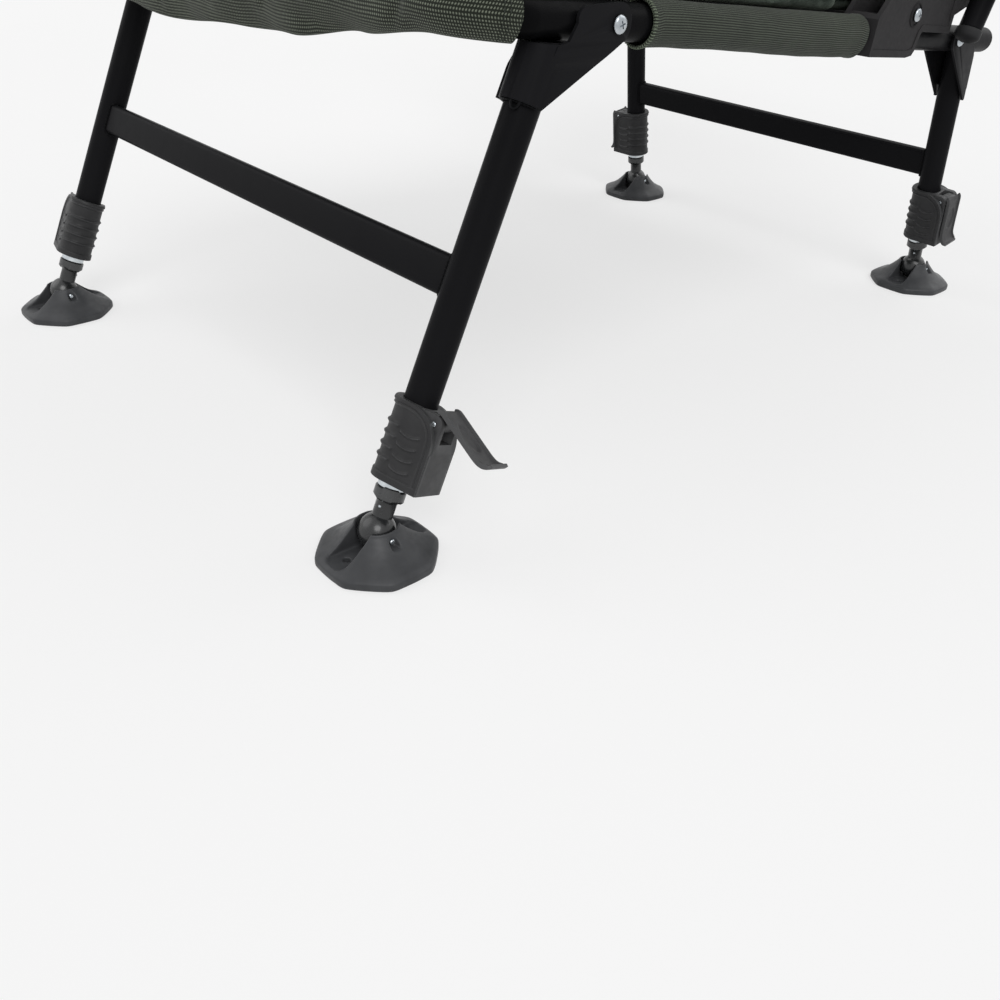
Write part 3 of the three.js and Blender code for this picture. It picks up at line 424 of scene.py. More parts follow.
def rounded(obj: bpy.types.Object, radius: float, segments: int = 2, above: float = 32.0) -> bpy.types.Object:
    """Rounds an object's sharp edges.

    Args:
        obj: The object.
        radius: The rounding in millimetres.
        segments: Faces across each rounding.
        above: Edges that turn by more than this many degrees are rounded.

    Returns:
        The same object.
    """
    modifier = obj.modifiers.new("round", "BEVEL")
    modifier.width = radius * MM
    modifier.segments = segments
    modifier.limit_method = "ANGLE"
    modifier.angle_limit = math.radians(above)
    modifier.use_clamp_overlap = True
    return frozen(obj, 40.0)


def softened(obj: bpy.types.Object, voxel: float, passes: int) -> bpy.types.Object:
    """Gives a moulded body soft edges: remeshes it in small cells and relaxes them.

    Args:
        obj: The object.
        voxel: The cells' size in millimetres.
        passes: How many times the points relax.

    Returns:
        The same object.
    """
    remesh = obj.modifiers.new("cells", "REMESH")
    remesh.mode = "VOXEL"
    remesh.voxel_size = voxel * MM
    relax = obj.modifiers.new("relax", "SMOOTH")
    relax.factor = 0.5
    relax.iterations = passes
    return frozen(obj, SOFT_ANGLE)


def thickened(obj: bpy.types.Object, thickness: float) -> bpy.types.Object:
    """Gives a sheet of cloth its thickness.

    Args:
        obj: The sheet.
        thickness: Its thickness in millimetres.

    Returns:
        The same object.
    """
    solid = obj.modifiers.new("thickness", "SOLIDIFY")
    solid.thickness = thickness * MM
    solid.offset = 0
    return frozen(obj, SOFT_ANGLE)


def copy_at(obj: bpy.types.Object, name: str, place: Matrix) -> bpy.types.Object:
    """Puts a copy of a part, drawn about its own origin, in its place.

    Args:
        obj: The part, whose mesh the copy shares.
        name: The copy's name.
        place: The part's frame in millimetres.

    Returns:
        The copy.
    """
    copy = bpy.data.objects.new(name, obj.data)
    copy.matrix_world = Matrix.Translation(place.translation * MM) @ place.to_3x3().to_4x4()
    bpy.context.scene.collection.objects.link(copy)
    return copy


def forget(*objects: bpy.types.Object) -> None:
    """Deletes parts that were only drawn to be copied."""
    for obj in objects:
        bpy.data.objects.remove(obj)


# Finishes


def linear(code: str) -> tuple[float, float, float, float]:
    """Turns an sRGB hex colour into a linear one.

    Args:
        code: The colour, such as #1a1b1c.

    Returns:
        Its red, green and blue, and an alpha of 1.
    """
    shares = [int(code[i : i + 2], 16) / 255 for i in (1, 3, 5)]
    red, green, blue = (s / 12.92 if s <= 0.04045 else ((s + 0.055) / 1.055) ** 2.4 for s in shares)
    return red, green, blue, 1.0


def wire(
    material: bpy.types.ID,
    target: bpy.types.Node,
    inputs: Sequence[object] | dict[str | int, object],
) -> None:
    """Sets a node's inputs.

    Args:
        material: The material or world that the node is in.
        target: The node.
        inputs: Values and other nodes' outputs, in the order of the inputs, or by name or number.
    """
    for key, value in inputs.items() if isinstance(inputs, dict) else enumerate(inputs):
        if isinstance(value, bpy.types.NodeSocket):
            material.node_tree.links.new(value, target.inputs[key])
        else:
            target.inputs[key].default_value = value


def node(
    material: bpy.types.ID,
    kind: str,
    inputs: Sequence[object] | dict[str | int, object] = (),
    out: str | int = 0,
    **settings: object,
) -> bpy.types.NodeSocket:
    """Adds a shader node with its settings and links.

    Args:
        material: The material or world it is added to.
        kind: The node's type name, without the ShaderNode that all begin with.
        inputs: Values and other nodes' outputs, in the order of the inputs, or by name or number.
        out: The output that is given back.
        settings: The node's properties.

    Returns:
        The new node's output.
    """
    new = material.node_tree.nodes.new(f"ShaderNode{kind}")
    for key, value in settings.items():
        setattr(new, key, value)
    wire(material, new, inputs)
    return new.outputs[out]


def blank(name: str) -> bpy.types.Material:
    """Starts a material.

    Args:
        name: The real material's name.

    Returns:
        The material.
    """
    material = bpy.data.materials.new(name)
    material.use_nodes = True
    return material


def surfaced(material: bpy.types.Material, inputs: dict[str, object]) -> bpy.types.Material:
    """Sets the inputs of a material's own shader by name, and returns the material."""
    wire(material, material.node_tree.nodes["Principled BSDF"], inputs)
    return material


def per_metre(size: float) -> float:
    """The scale of a pattern whose real size is given in millimetres."""
    return 1 / (size * MM)


@dataclass(frozen=True)
class PowderCoatedSteel:
    """Steel under baked black powder coat: near black, half gloss, with a faint orange peel."""

    # Epoxy polyester powder, sprayed and baked. The eye sees a black that is almost
    # neutral, soft highlights along the tubes, and slightly greyer edges. Those edges are
    # painted paler by pointiness, partly as rubbed wear and partly as a painted highlight on the bevels.
    coat: str = "#070708"
    dusty: str = "#0c0c0d"
    rubbed: str = "#202022"
    cloud: float = 35.0
    gloss: float = 9.0
    peel: float = 1.6

    def material(self) -> bpy.types.Material:
        """Builds the finish.

        Returns:
            The material.
        """
        steel = blank("powder_coated_steel")
        place = node(steel, "TexCoord", out="Object")
        cloud, gloss, peel = (
            node(steel, "TexNoise", {"Vector": place, "Scale": per_metre(size), "Detail": 2.0})
            for size in (self.cloud, self.gloss, self.peel)
        )
        dust = node(steel, "MapRange", (cloud, *NOISE, 0.0, 1.0))
        coat = {0: dust, 6: linear(self.coat), 7: linear(self.dusty)}
        # Painted highlight and wear: convex edges are mixed towards a paler grey, partly rubbed wear, partly
        # a painted highlight where bevels catch light.
        edges = node(steel, "NewGeometry", out="Pointiness")
        edge_wear_and_highlight = node(steel, "MapRange", (edges, 0.53, 0.62, 0.0, 0.8))
        worn_and_highlit = {0: edge_wear_and_highlight, 6: node(steel, "Mix", coat, 2, data_type="RGBA"), 7: linear(self.rubbed)}
        ripple = {"Height": peel, "Strength": 0.12, "Distance": 0.2 * MM}
        return surfaced(steel, {
            "Base Color": node(steel, "Mix", worn_and_highlit, 2, data_type="RGBA"),
            "Roughness": node(steel, "MapRange", (gloss, *NOISE, 0.3, 0.4)),
            "Specular IOR Level": 0.025,
            "IOR": 1.5,
            "Normal": node(steel, "Bump", ripple),
        })


@dataclass(frozen=True)
class PlatedSteel:
    """Bright zinc or nickel on steel: fine drawing lines and a slightly cloudy shine."""

    # Electroplated and passivated. The eye sees a cool silver with sharp glints.
    name: str = "zinc_plated_steel"
    bright: str = "#c3c8cc"
    dull: str = "#a0a6ab"
    smooth: float = 0.2
    rough: float = 0.32
    line: float = 1.2
    line_length: float = 12.0
    cloud: float = 6.0

    def material(self) -> bpy.types.Material:
        """Builds the finish.

        Returns:
            The material.
        """
        metal = blank(self.name)
        place = node(metal, "TexCoord", out="Object")
        cloud = node(metal, "TexNoise", {"Vector": place, "Scale": per_metre(self.cloud), "Detail": 2.0})
        haze = node(metal, "MapRange", (cloud, *NOISE, 0.0, 1.0))
        shine = {0: haze, 6: linear(self.bright), 7: linear(self.dull)}
        drawn = (per_metre(self.line), per_metre(self.line), per_metre(self.line * self.line_length))
        along = node(metal, "VectorMath", (place, drawn), operation="MULTIPLY")
        lines = node(metal, "TexNoise", {"Vector": along, "Scale": 1.0, "Detail": 2.0})
        scratch = {"Height": lines, "Strength": 0.08, "Distance": 0.05 * MM}
        return surfaced(metal, {
            "Base Color": node(metal, "Mix", shine, 2, data_type="RGBA"),
            "Metallic": 1.0,
            "Roughness": node(metal, "MapRange", (lines, *NOISE, self.smooth, self.rough)),
            "Normal": node(metal, "Bump", scratch),
        })


@dataclass(frozen=True)
class MouldedPlastic:
    """Injection moulded plastic: a dull skin from a spark eroded mould, with its edges painted paler, partly
    as handling wear and partly as a painted highlight.
    """

    # Glass filled nylon, ABS or polypropylene, by its name. The eye sees a dark grey with
    # a wide soft sheen, a fine grain and small differences in gloss. The real grain is
    # about 0.1 mm, and is drawn coarser, so that it shows.
    name: str
    skin: str
    pale: str
    grain: float = 0.7
    relief: float = 0.06
    smooth: float = 0.42
    rough: float = 0.56
    specular: float = 0.2
    handled: str = "#6f7071"
    cloud: float = 14.0
    gloss: float = 4.0

    def material(self) -> bpy.types.Material:
        """Builds the finish.

        Returns:
            The material.
        """
        plastic = blank(self.name)
        place = node(plastic, "TexCoord", out="Object")
        cloud, gloss, grain = (
            node(plastic, "TexNoise", {"Vector": place, "Scale": per_metre(size), "Detail": detail})
            for size, detail in ((self.cloud, 3.0), (self.gloss, 2.0), (self.grain, 2.0))
        )
        haze = node(plastic, "MapRange", (cloud, *NOISE, 0.0, 1.0))
        skin = {0: haze, 6: linear(self.skin), 7: linear(self.pale)}
        # Painted highlight and wear: convex edges by pointiness turn paler, partly handling wear, partly a
        # painted highlight on the edges.
        edges = node(plastic, "NewGeometry", out="Pointiness")
        edge_wear_and_highlight = node(plastic, "MapRange", (edges, 0.52, 0.64, 0.0, 0.5))
        worn_and_highlit = {0: edge_wear_and_highlight, 6: node(plastic, "Mix", skin, 2, data_type="RGBA"), 7: linear(self.handled)}
        texture = {"Height": grain, "Strength": 0.5, "Distance": self.relief * MM}
        return surfaced(plastic, {
            "Base Color": node(plastic, "Mix", worn_and_highlit, 2, data_type="RGBA"),
            "Roughness": node(plastic, "MapRange", (gloss, *NOISE, self.smooth, self.rough)),
            "Specular IOR Level": self.specular,
            "IOR": 1.5,
            "Normal": node(plastic, "Bump", texture),
        })


class Weave(Enum):
    """How the polyester is woven, by the share of its cross threads that show."""

    BASKET = 1.0
    RIB = 0.3


@dataclass(frozen=True)
class WovenPolyester:
    """Heavy coated polyester cloth in green grey, from thick threads in two close shades."""

    # Dope dyed yarn in a plain or ribbed weave. The eye sees rows of pale dots or ribs on
    # a darker ground, a soft bloom at the edges of folds, and no shine. Such threads are
    # under a millimetre apart, and are drawn about twice as coarse, so that they show.
    name: str
    weave: Weave
    ground: str
    thread: str
    across: float
    along: float
    wander: float
    drift: float = 50 / 3
    patch: float = 28.0

    def material(self) -> bpy.types.Material:
        """Builds the finish, from each point's place on the threads in millimetres.

        Returns:
            The material.
        """
        cloth = blank(self.name)
        place = node(cloth, "Attribute", out="Vector", attribute_name="threads")
        drift = node(cloth, "TexNoise", {"Vector": place, "Scale": 1 / self.drift, "Detail": 2.0}, "Color")
        sway = (drift, (self.wander, self.wander, 0.0), place)
        shifted = node(cloth, "VectorMath", sway, operation="MULTIPLY_ADD")
        rate = (2 * math.pi / self.across, 2 * math.pi / self.along, 0.0)
        angle = node(cloth, "VectorMath", (shifted, rate), operation="MULTIPLY")
        wave = node(cloth, "VectorMath", (angle,), operation="SINE")
        lifted = node(cloth, "VectorMath", (wave, (1, 1, 1)), operation="ADD")
        warp, weft = (node(cloth, "SeparateXYZ", (lifted,), axis) for axis in "XY")
        share = self.weave.value
        dots = node(cloth, "Math", (warp, weft), operation="MULTIPLY")
        ribs = node(cloth, "Math", (warp, 1 - share, -1.0), operation="MULTIPLY_ADD")
        height = node(cloth, "Math", (dots, share / 2, ribs), operation="MULTIPLY_ADD")
        tone = node(cloth, "MapRange", (height, -0.7, 0.7, 0.0, 1.0))
        yarns = {0: tone, 6: linear(self.ground), 7: linear(self.thread)}
        spot = node(cloth, "TexCoord", out="Object")
        patch = node(cloth, "TexNoise", {"Vector": spot, "Scale": per_metre(self.patch), "Detail": 3.0})
        faded = node(cloth, "MapRange", (patch, *NOISE, 0.82, 1.16))
        woven = {0: node(cloth, "Mix", yarns, 2, data_type="RGBA"), "Scale": faded}
        return surfaced(cloth, {
            "Base Color": node(cloth, "VectorMath", woven, operation="SCALE"),
            "Roughness": node(cloth, "MapRange", (height, -1.0, 1.0, 0.95, 0.8)),
            "Specular IOR Level": 0.2,
            "IOR": 1.45,
            "Sheen Weight": 0.12,
            "Sheen Roughness": 0.5,
            "Normal": node(cloth, "Bump", {"Height": height, "Strength": 0.9, "Distance": 0.25 * MM}),
        })


@dataclass(frozen=True)
class BrushedPolyester:
    """Soft brushed polyester on the padding: a short green grey nap with a pale bloom."""

    # Warp knit, brushed on one side. The eye sees a matt green grey that turns paler at
    # glancing angles, with a mottled nap. The real fibres are finer than a pixel, so the
    # nap is drawn in tufts of about a millimetre.
    ground: str = "#363e38"
    nap: str = "#4c554e"
    bloom: str = "#b9c4b4"
    tuft: float = 1.1
    tuft_length: float = 2.2
    patch: float = 45.0

    def material(self) -> bpy.types.Material:
        """Builds the finish.

        Returns:
            The material.
        """
        cloth = blank("padded_polyester")
        place = node(cloth, "TexCoord", out="Object")
        lie = (per_metre(self.tuft), per_metre(self.tuft * self.tuft_length), per_metre(self.tuft))
        brushed = node(cloth, "VectorMath", (place, lie), operation="MULTIPLY")
        tufts = node(cloth, "TexNoise", {"Vector": brushed, "Scale": 1.0, "Detail": 4.0})
        patch = node(cloth, "TexNoise", {"Vector": place, "Scale": per_metre(self.patch), "Detail": 3.0})
        swept_nap = node(cloth, "MapRange", (patch, *NOISE, -0.22, 0.22))
        tone = node(cloth, "Math", (tufts, swept_nap), operation="ADD")
        share = node(cloth, "MapRange", (tone, *NOISE, 0.0, 1.0))
        pile = {0: share, 6: linear(self.ground), 7: linear(self.nap)}
        return surfaced(cloth, {
            "Base Color": node(cloth, "Mix", pile, 2, data_type="RGBA"),
            "Roughness": node(cloth, "MapRange", (tufts, *NOISE, 0.97, 0.86)),
            "Specular IOR Level": 0.15,
            "IOR": 1.45,
            "Sheen Weight": 0.3,
            "Sheen Roughness": 0.45,
            "Sheen Tint": linear(self.bloom),
            "Normal": node(cloth, "Bump", {"Height": tufts, "Strength": 0.55, "Distance": 0.5 * MM}),
        })


@dataclass(frozen=True)
class TwistedThread:
    """Bonded nylon sewing thread and corded piping: dark, twisted, with a slight shine."""

    # Three plies twisted together. The eye sees fine slanting lines on a dark cord.
    name: str
    dark: str
    light: str
    ply: float = 1.4

    def material(self) -> bpy.types.Material:
        """Builds the finish.

        Returns:
            The material.
        """
        thread = blank(self.name)
        place = node(thread, "TexCoord", out="Object")
        lay = (per_metre(self.ply), per_metre(self.ply), per_metre(self.ply / 2))
        twisted = node(thread, "VectorMath", (place, lay), operation="MULTIPLY")
        plies = node(thread, "TexNoise", {"Vector": twisted, "Scale": 1.0, "Detail": 1.0})
        share = node(thread, "MapRange", (plies, *NOISE, 0.0, 1.0))
        strands = {0: share, 6: linear(self.dark), 7: linear(self.light)}
        return surfaced(thread, {
            "Base Color": node(thread, "Mix", strands, 2, data_type="RGBA"),
            "Roughness": 0.7,
            "Specular IOR Level": 0.3,
            "IOR": 1.5,
            "Normal": node(thread, "Bump", {"Height": plies, "Strength": 0.6, "Distance": 0.2 * MM}),
        })


class Palette:
    """Every finish on the chair, built once."""

    def __init__(self) -> None:
        """Builds the finishes."""
        self.steel = PowderCoatedSteel().material()
        self.zinc = PlatedSteel().material()
        tube = PlatedSteel("plated_tube", "#d2d7da", "#bac0c4", smooth=0.24, rough=0.36, line=2.0)
        self.plated_tube = tube.material()
        self.nylon = MouldedPlastic("glass_filled_nylon", "#2a2a2b", "#333334").material()
        # Painted light: a paler copy of the clamp's nylon, the same finish apart from colour, painted lighter
        # as if lit on the box's and lever's outboard faces.
        self.nylon_box = MouldedPlastic("glass_filled_nylon_matt", "#3b3b3c", "#454546").material()
        foot = MouldedPlastic(
            "polypropylene_foot", "#3c3d3f", "#47484a", grain=1.1, relief=0.05, smooth=0.36, rough=0.5
        )
        self.foot = foot.material()
        plug = MouldedPlastic(
            "acetal_plug", "#212223", "#2c2d2e", grain=1.4, relief=0.03, smooth=0.2, rough=0.3, specular=0.5
        )
        self.plug = plug.material()
        housing = MouldedPlastic(
            "textured_abs", "#242425", "#2d2c2d", grain=0.8, relief=0.12, smooth=0.5, rough=0.62,
            specular=0.04, handled="#3f3e3f",
        )
        self.housing = housing.material()
        self.cap = MouldedPlastic("black_polyethylene", "#19191a", "#222223", specular=0.05).material()
        front = WovenPolyester(
            "basket_woven_polyester", Weave.BASKET, "#20241d", "#7f8676", across=1.7, along=2.1, wander=0.5
        )
        self.front_cloth = front.material()
        sleeve = WovenPolyester(
            "rib_woven_polyester", Weave.RIB, "#1c2019", "#4c5347", across=1.45, along=1.4, wander=0.4
        )
        self.sleeve_cloth = sleeve.material()
        self.padding = BrushedPolyester().material()
        self.piping = TwistedThread("piping_cord", "#1d211c", "#2c322a").material()
        self.thread = TwistedThread("sewing_thread", "#566050", "#7b8572", ply=0.8).material()


def dress(
    obj: bpy.types.Object, material: bpy.types.Material, body: str, slot: str, *nodes: str
) -> bpy.types.Object:
    """Gives a piece its finish and its place in the model.

    Args:
        obj: The piece.
        material: Its finish.
        body: The body it moves with.
        slot: The record's material slot it is in; not used.
        nodes: The solids it stands for.

    Returns:
        The same piece.
    """
    if material.name not in obj.data.materials:
        obj.data.materials.clear()
        obj.data.materials.append(material)
    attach(obj, body)
    if nodes:
        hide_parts(*nodes)
    LOG.info("%s: %d faces on %s", obj.name, len(obj.data.polygons), body)
    return obj


# Places


def shift(x: float = 0.0, y: float = 0.0, z: float = 0.0) -> Matrix:
    """A move in millimetres."""
    return Matrix.Translation((x, y, z))


def ease(value: float, low: float, high: float) -> float:
    """A smooth step: 0 below low, 1 above high."""
    share = min(1.0, max(0.0, (value - low) / (high - low)))
    return share * share * (3 - 2 * share)


class Side(Enum):
    """The chair's two sides, for someone who stands in front of it."""

    RIGHT = 1
    LEFT = -1

    @property
    def label(self) -> str:
        """The side's word in the solids' names."""
        return self.name.lower()

    @property
    def outward(self) -> Matrix:
        """The turn that points a bolt's head away from the middle."""
        return IDENTITY if self is Side.RIGHT else Matrix.Rotation(math.pi, 4, "Z")


class End(Enum):
    """The chair's two pairs of legs."""

    FRONT = "front"
    REAR = "rear"


@dataclass(frozen=True)
class Corner:
    """One of the four legs."""

    end: End
    side: Side

    @property
    def label(self) -> str:
        """The leg's words in the solids' names."""
        return f"{self.end.value}_{self.side.label}"


CORNERS = [Corner(end, side) for end in End for side in Side]


def basis(across: Vector, along: Vector, up: Vector, origin: Vector) -> Matrix:
    """The frame that has these three directions and this origin, in millimetres."""
    columns = Matrix((across, along, up)).transposed().to_4x4()
    return Matrix.Translation(origin) @ columns


@dataclass
class Places:
    """The frames of the chair's sub-assemblies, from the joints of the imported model."""

    joints: dict[str, dict]
    front_bolt_along: float = 98.0
    rear_bolt_along: float = 595.0
    back_lean: float = 22.7
    lever_pin_reach: float = 20.0
    lever_pin_rise: float = 45.0
    seat_half_front: float = 243.5
    corner_radius: float = 38.0
    taper: float = 3.8

    @classmethod
    def of(cls, joints: list[dict]) -> Places:
        """The places that a list of the record's joints gives."""
        return cls({joint["name"]: joint for joint in joints})

    def position(self, joint: str) -> Vector:
        """A joint's place in millimetres."""
        return Vector(self.joints[joint]["pos_m"]) / MM

    @property
    def middle(self) -> float:
        """Where the chair's mid plane stands."""
        return (self.position("foot_tilt_front_right").x + self.position("foot_tilt_front_left").x) / 2

    @property
    def slope(self) -> float:
        """How far the seat falls towards its rear, as an angle."""
        span = self.position("rear_legs_fold") - self.position("front_legs_fold")
        return math.atan2(-span.z, span.y)

    def seat(self) -> Matrix:
        """The seat's frame: X to the right, Y along the side rails, origin on the front rail's axis.

        Returns:
            The frame.
        """
        turn = Matrix.Rotation(-self.slope, 4, "X")
        bolt = self.position("front_legs_fold")
        bolt.x = self.middle
        return Matrix.Translation(bolt - turn @ Vector((0, self.front_bolt_along, 0))) @ turn

    def back(self) -> Matrix:
        """The backrest's frame: Z up the uprights, origin on the pivot line.

        Returns:
            The frame.
        """
        pivot = self.position("backrest_recline")
        pivot.x = self.middle
        return Matrix.Translation(pivot) @ Matrix.Rotation(-math.radians(self.back_lean), 4, "X")

    def leg(self, corner: Corner) -> Matrix:
        """A leg's frame: Z up the leg, X outboard, origin at the ball's centre.

        Args:
            corner: The leg's corner.

        Returns:
            The frame.
        """
        up = Vector(self.joints[f"leg_height_{corner.label}"]["axis"]).normalized()
        across = X * corner.side.value
        across = (across - up * across.dot(up)).normalized()
        return basis(across, up.cross(across), up, self.position(f"foot_tilt_{corner.label}"))

    def clamp(self, corner: Corner) -> Matrix:
        """A clamp's frame: Z up the leg, X towards its lever, origin on the leg's axis at its lower end.

        Args:
            corner: The leg's corner.

        Returns:
            The frame.
        """
        joint = f"clamp_{corner.label}"
        up = Vector(self.joints[f"leg_height_{corner.label}"]["axis"]).normalized()
        along = Vector(self.joints[joint]["axis"]).normalized()
        across = along.cross(up)
        start = self.position(joint) - across * self.lever_pin_reach - up * self.lever_pin_rise
        return basis(across, along, up, start)

    def lever(self, corner: Corner) -> Matrix:
        """A lever's frame about its pin, turned open as it stands.

        Args:
            corner: The leg's corner.

        Returns:
            The frame.
        """
        joint = self.joints[f"clamp_{corner.label}"]
        place = self.clamp(corner)
        place.translation = self.position(f"clamp_{corner.label}")
        return place @ Matrix.Rotation(-math.radians(joint["range_deg"][1]), 4, "Y")

    def foot(self, corner: Corner) -> Matrix:
        """A foot's frame, level, with its origin at the ball's centre."""
        return Matrix.Translation(self.position(f"foot_tilt_{corner.label}"))

    def bolt_along(self, end: End) -> float:
        """How far behind the front rail a pair of legs is bolted on."""
        return self.front_bolt_along if end is End.FRONT else self.rear_bolt_along

    def on_rail(self, side: Side, along: float, rise: float = 0.0) -> Matrix:
        """A frame on a side rail's axis, or above it, that lies as the seat does."""
        return self.seat() @ shift(side.value * self.rail_half(along), along, rise)

    def rail_turn(self, side: Side) -> Matrix:
        """The turn from straight ahead to along a side rail."""
        return Matrix.Rotation(side.value * math.radians(self.taper), 4, "Z")

    def rail_half(self, along: float) -> float:
        """How far a side rail's axis is from the middle, at a distance behind the front rail.

        Args:
            along: The distance.

        Returns:
            Half the space between the two axes.
        """
        turn = math.radians(self.taper)
        start = self.corner_radius * (1 - math.sin(turn))
        inset = self.corner_radius * (1 - math.cos(turn))
        return self.seat_half_front - inset - (along - start) * math.tan(turn)

    def on_corner(self, turn: float) -> Vector:
        """The place on the right front corner at an angle round it, from the front rail's end."""
        x = self.seat_half_front - self.corner_radius * (1 - math.sin(turn))
        return Vector((x, self.corner_radius * (1 - math.cos(turn)), 0))


def mirrored(path: Sequence[Vector]) -> list[Vector]:
    """A path from the left to the right, given its right half from the middle out."""
    return [Vector((-p.x, p.y, p.z)) for p in reversed(path)] + list(path)


# Fasteners


@dataclass
class CrossBolt:
    """A pan head bolt with a cross recess, a washer under its head and a hexagon nut."""

    shank: float = 3.0
    head: float = 5.3
    head_height: float = 3.0
    nut: float = 5.0
    nut_height: float = 4.0
    recess: float = 0.9

    def build(self, name: str, grip: float, inner_grip: float) -> bpy.types.Object:
        """Makes the bolt along X, its head at +X.

        Args:
            name: The bolt's name.
            grip: From the middle to under the head.
            inner_grip: From the middle to the nut.

        Returns:
            The bolt.
        """
        lie = Matrix.Rotation(math.pi / 2, 4, "Y")
        top, low, half = grip + self.head_height, -inner_grip - self.nut_height, self.recess / 2
        dome = [
            (self.head * math.cos(t) ** 0.6, grip + 0.9 + (self.head_height - 0.9) * math.sin(t) ** 1.2)
            for t in (math.pi / 2 * i / 7 for i in range(1, 7))
        ]
        outline = [(0, low - 1.2), (self.shank - 0.5, low - 1.2), (self.shank, low - 0.6)]
        outline += [(self.shank, grip + 0.2), (self.head - 0.2, grip + 0.2), (self.head, grip + 0.5)]
        outline += [(self.head, grip + 0.9), *dome, (0, top)]
        bolt = made(name, lathe(outline, 32).moved(lie), sharp=30.0)
        bar = prism([(-2.3, -half), (2.3, -half), (2.3, half), (-2.3, half)], top - 1.3, top + 1.0, Plane.XY)
        for turn in (0, math.pi / 2):
            slot = made("slot", bar.moved(lie @ Matrix.Rotation(turn + 0.4, 4, "Z")))
            combined(bolt, Joining.CUT, slot)
        nut = prism(arc((0, 0), self.nut, 0, 300, 5), low, -inner_grip, Plane.XY)
        rim = self.nut + 0.9
        washer = turned_tube(rim, rim - self.shank, -inner_grip - 0.05, -inner_grip + 0.25, 32)
        hexagon = rounded(made("nut", nut.moved(lie)), 0.35)
        return merged(bolt, hexagon, made("washer", washer.moved(lie)))


def merged(obj: bpy.types.Object, *others: bpy.types.Object) -> bpy.types.Object:
    """Puts other objects' meshes into one object, as loose parts of it.

    Args:
        obj: The object that is kept.
        others: The objects it takes in, which are deleted.

    Returns:
        The same object.
    """
    work = bmesh.new()
    work.from_mesh(obj.data)
    for other in others:
        work.from_mesh(other.data)
    work.to_mesh(obj.data)
    work.free()
    for other in others:
        bpy.data.objects.remove(other)
    return shaded(obj)


def weld(path: Sequence[Vector], radius: float, closed: bool) -> Form:
    """A weld bead along a path, rippled as the torch moved.

    Args:
        path: The path's points, about half a millimetre apart.
        radius: The bead's radius.
        closed: Whether the path's end joins its start.

    Returns:
        The bead's form.
    """
    ripple = [1 + 0.14 * math.sin(1.9 * i) + 0.12 * noise.noise(p * 0.3) for i, p in enumerate(path)]
    return swept(path, lambda i: radius * ripple[i], Z + X * 0.01, 8, closed)


# Seat frame


@dataclass
class SeatFrame:
    """The bent tube under the seat: front rail, side rails, rear rail, end caps and pivot bolts."""

    places: Places
    palette: Palette
    radius: float = 11.0
    wall: float = 1.3
    rear_radius: float = 9.0
    rear_along: float = 660.0
    rail_end: float = 680.0
    bolt_grip: float = 15.2

    def path(self) -> list[Vector]:
        """The tube's axis from the left rail's end to the right rail's end.

        Returns:
            The axis's points.
        """
        steps, full = 20, math.pi / 2 - math.radians(self.places.taper)
        half = [self.places.on_corner(full * i / steps) for i in range(steps + 1)]
        half.append(Vector((self.places.rail_half(self.rail_end), self.rail_end, 0)))
        return mirrored(half)

    def build(self) -> None:
        """Makes the frame's pieces."""
        seat = self.places.seat()
        tube = made("seat_frame_tube", swept_tube(self.path(), self.radius, self.wall, Z), seat)
        dress(tube, self.palette.steel, "seat", "powder_coated_steel", "seat_frame")
        half = self.places.rail_half(self.rear_along)
        rod = [Vector((x, self.rear_along, 0)) for x in (-half, half)]
        rear = made("rear_rail_tube", swept(rod, self.rear_radius, Z, 48, capped=False), seat)
        beads = Form()
        for side in Side:
            beads.add(weld(self.rear_joint(half, side.value), 1.3, closed=True))
        merged(rear, made("beads", beads, seat))
        dress(rear, self.palette.steel, "seat", "powder_coated_steel", "seat_rear_rail")
        bolt = CrossBolt().build("leg_fastener", self.bolt_grip, self.bolt_grip)
        for side in Side:
            self.cap(side)
            for end in End:
                place = self.places.on_rail(side, self.places.bolt_along(end)) @ side.outward
                copy = copy_at(bolt, f"{end.value}_leg_screw_{side.label}", place)
                solid = f"{end.value}_pivot_bolt_{side.label}"
                dress(copy, self.palette.zinc, "seat", "zinc_plated_steel", solid)
        forget(bolt)

    def rear_joint(self, half: float, sign: int) -> list[Vector]:
        """Where the rear rail's surface meets a side rail's, as a closed path.

        Args:
            half: How far the side rail's axis is from the middle.
            sign: 1 for the right rail, -1 for the left one.

        Returns:
            The path's points.
        """
        steps = 96
        points = []
        for i in range(steps):
            turn = 2 * math.pi * i / steps
            rise = (self.rear_radius + 0.4) * math.sin(turn)
            inset = math.sqrt((self.radius + 0.3) ** 2 - rise**2)
            along = self.rear_along + (self.rear_radius + 0.4) * math.cos(turn)
            points.append(Vector((sign * (half - inset), along, rise)))
        return points

    def cap(self, side: Side) -> None:
        """Makes the plug that closes a side rail's end.

        Args:
            side: The rail's side.
        """
        r = self.radius
        outline = [(0, -12), (r - 2, -12), (r - 2, 0.3), (r - 0.3, 0.3), (r, 0.6), (r, 2.4)]
        outline += [(r * math.cos(t), 2.4 + 1.9 * math.sin(t)) for t in (0.3, 0.6, 0.9, 1.2)] + [(0, 4.3)]
        turn = self.places.rail_turn(side) @ Matrix.Rotation(-math.pi / 2, 4, "X")
        place = self.places.on_rail(side, self.rail_end) @ turn
        plug = made(f"rail_cap_{side.label}", lathe(outline), place)
        dress(plug, self.palette.cap, "seat", "black_plastic", f"rail_end_cap_{side.label}")


# Leg frames


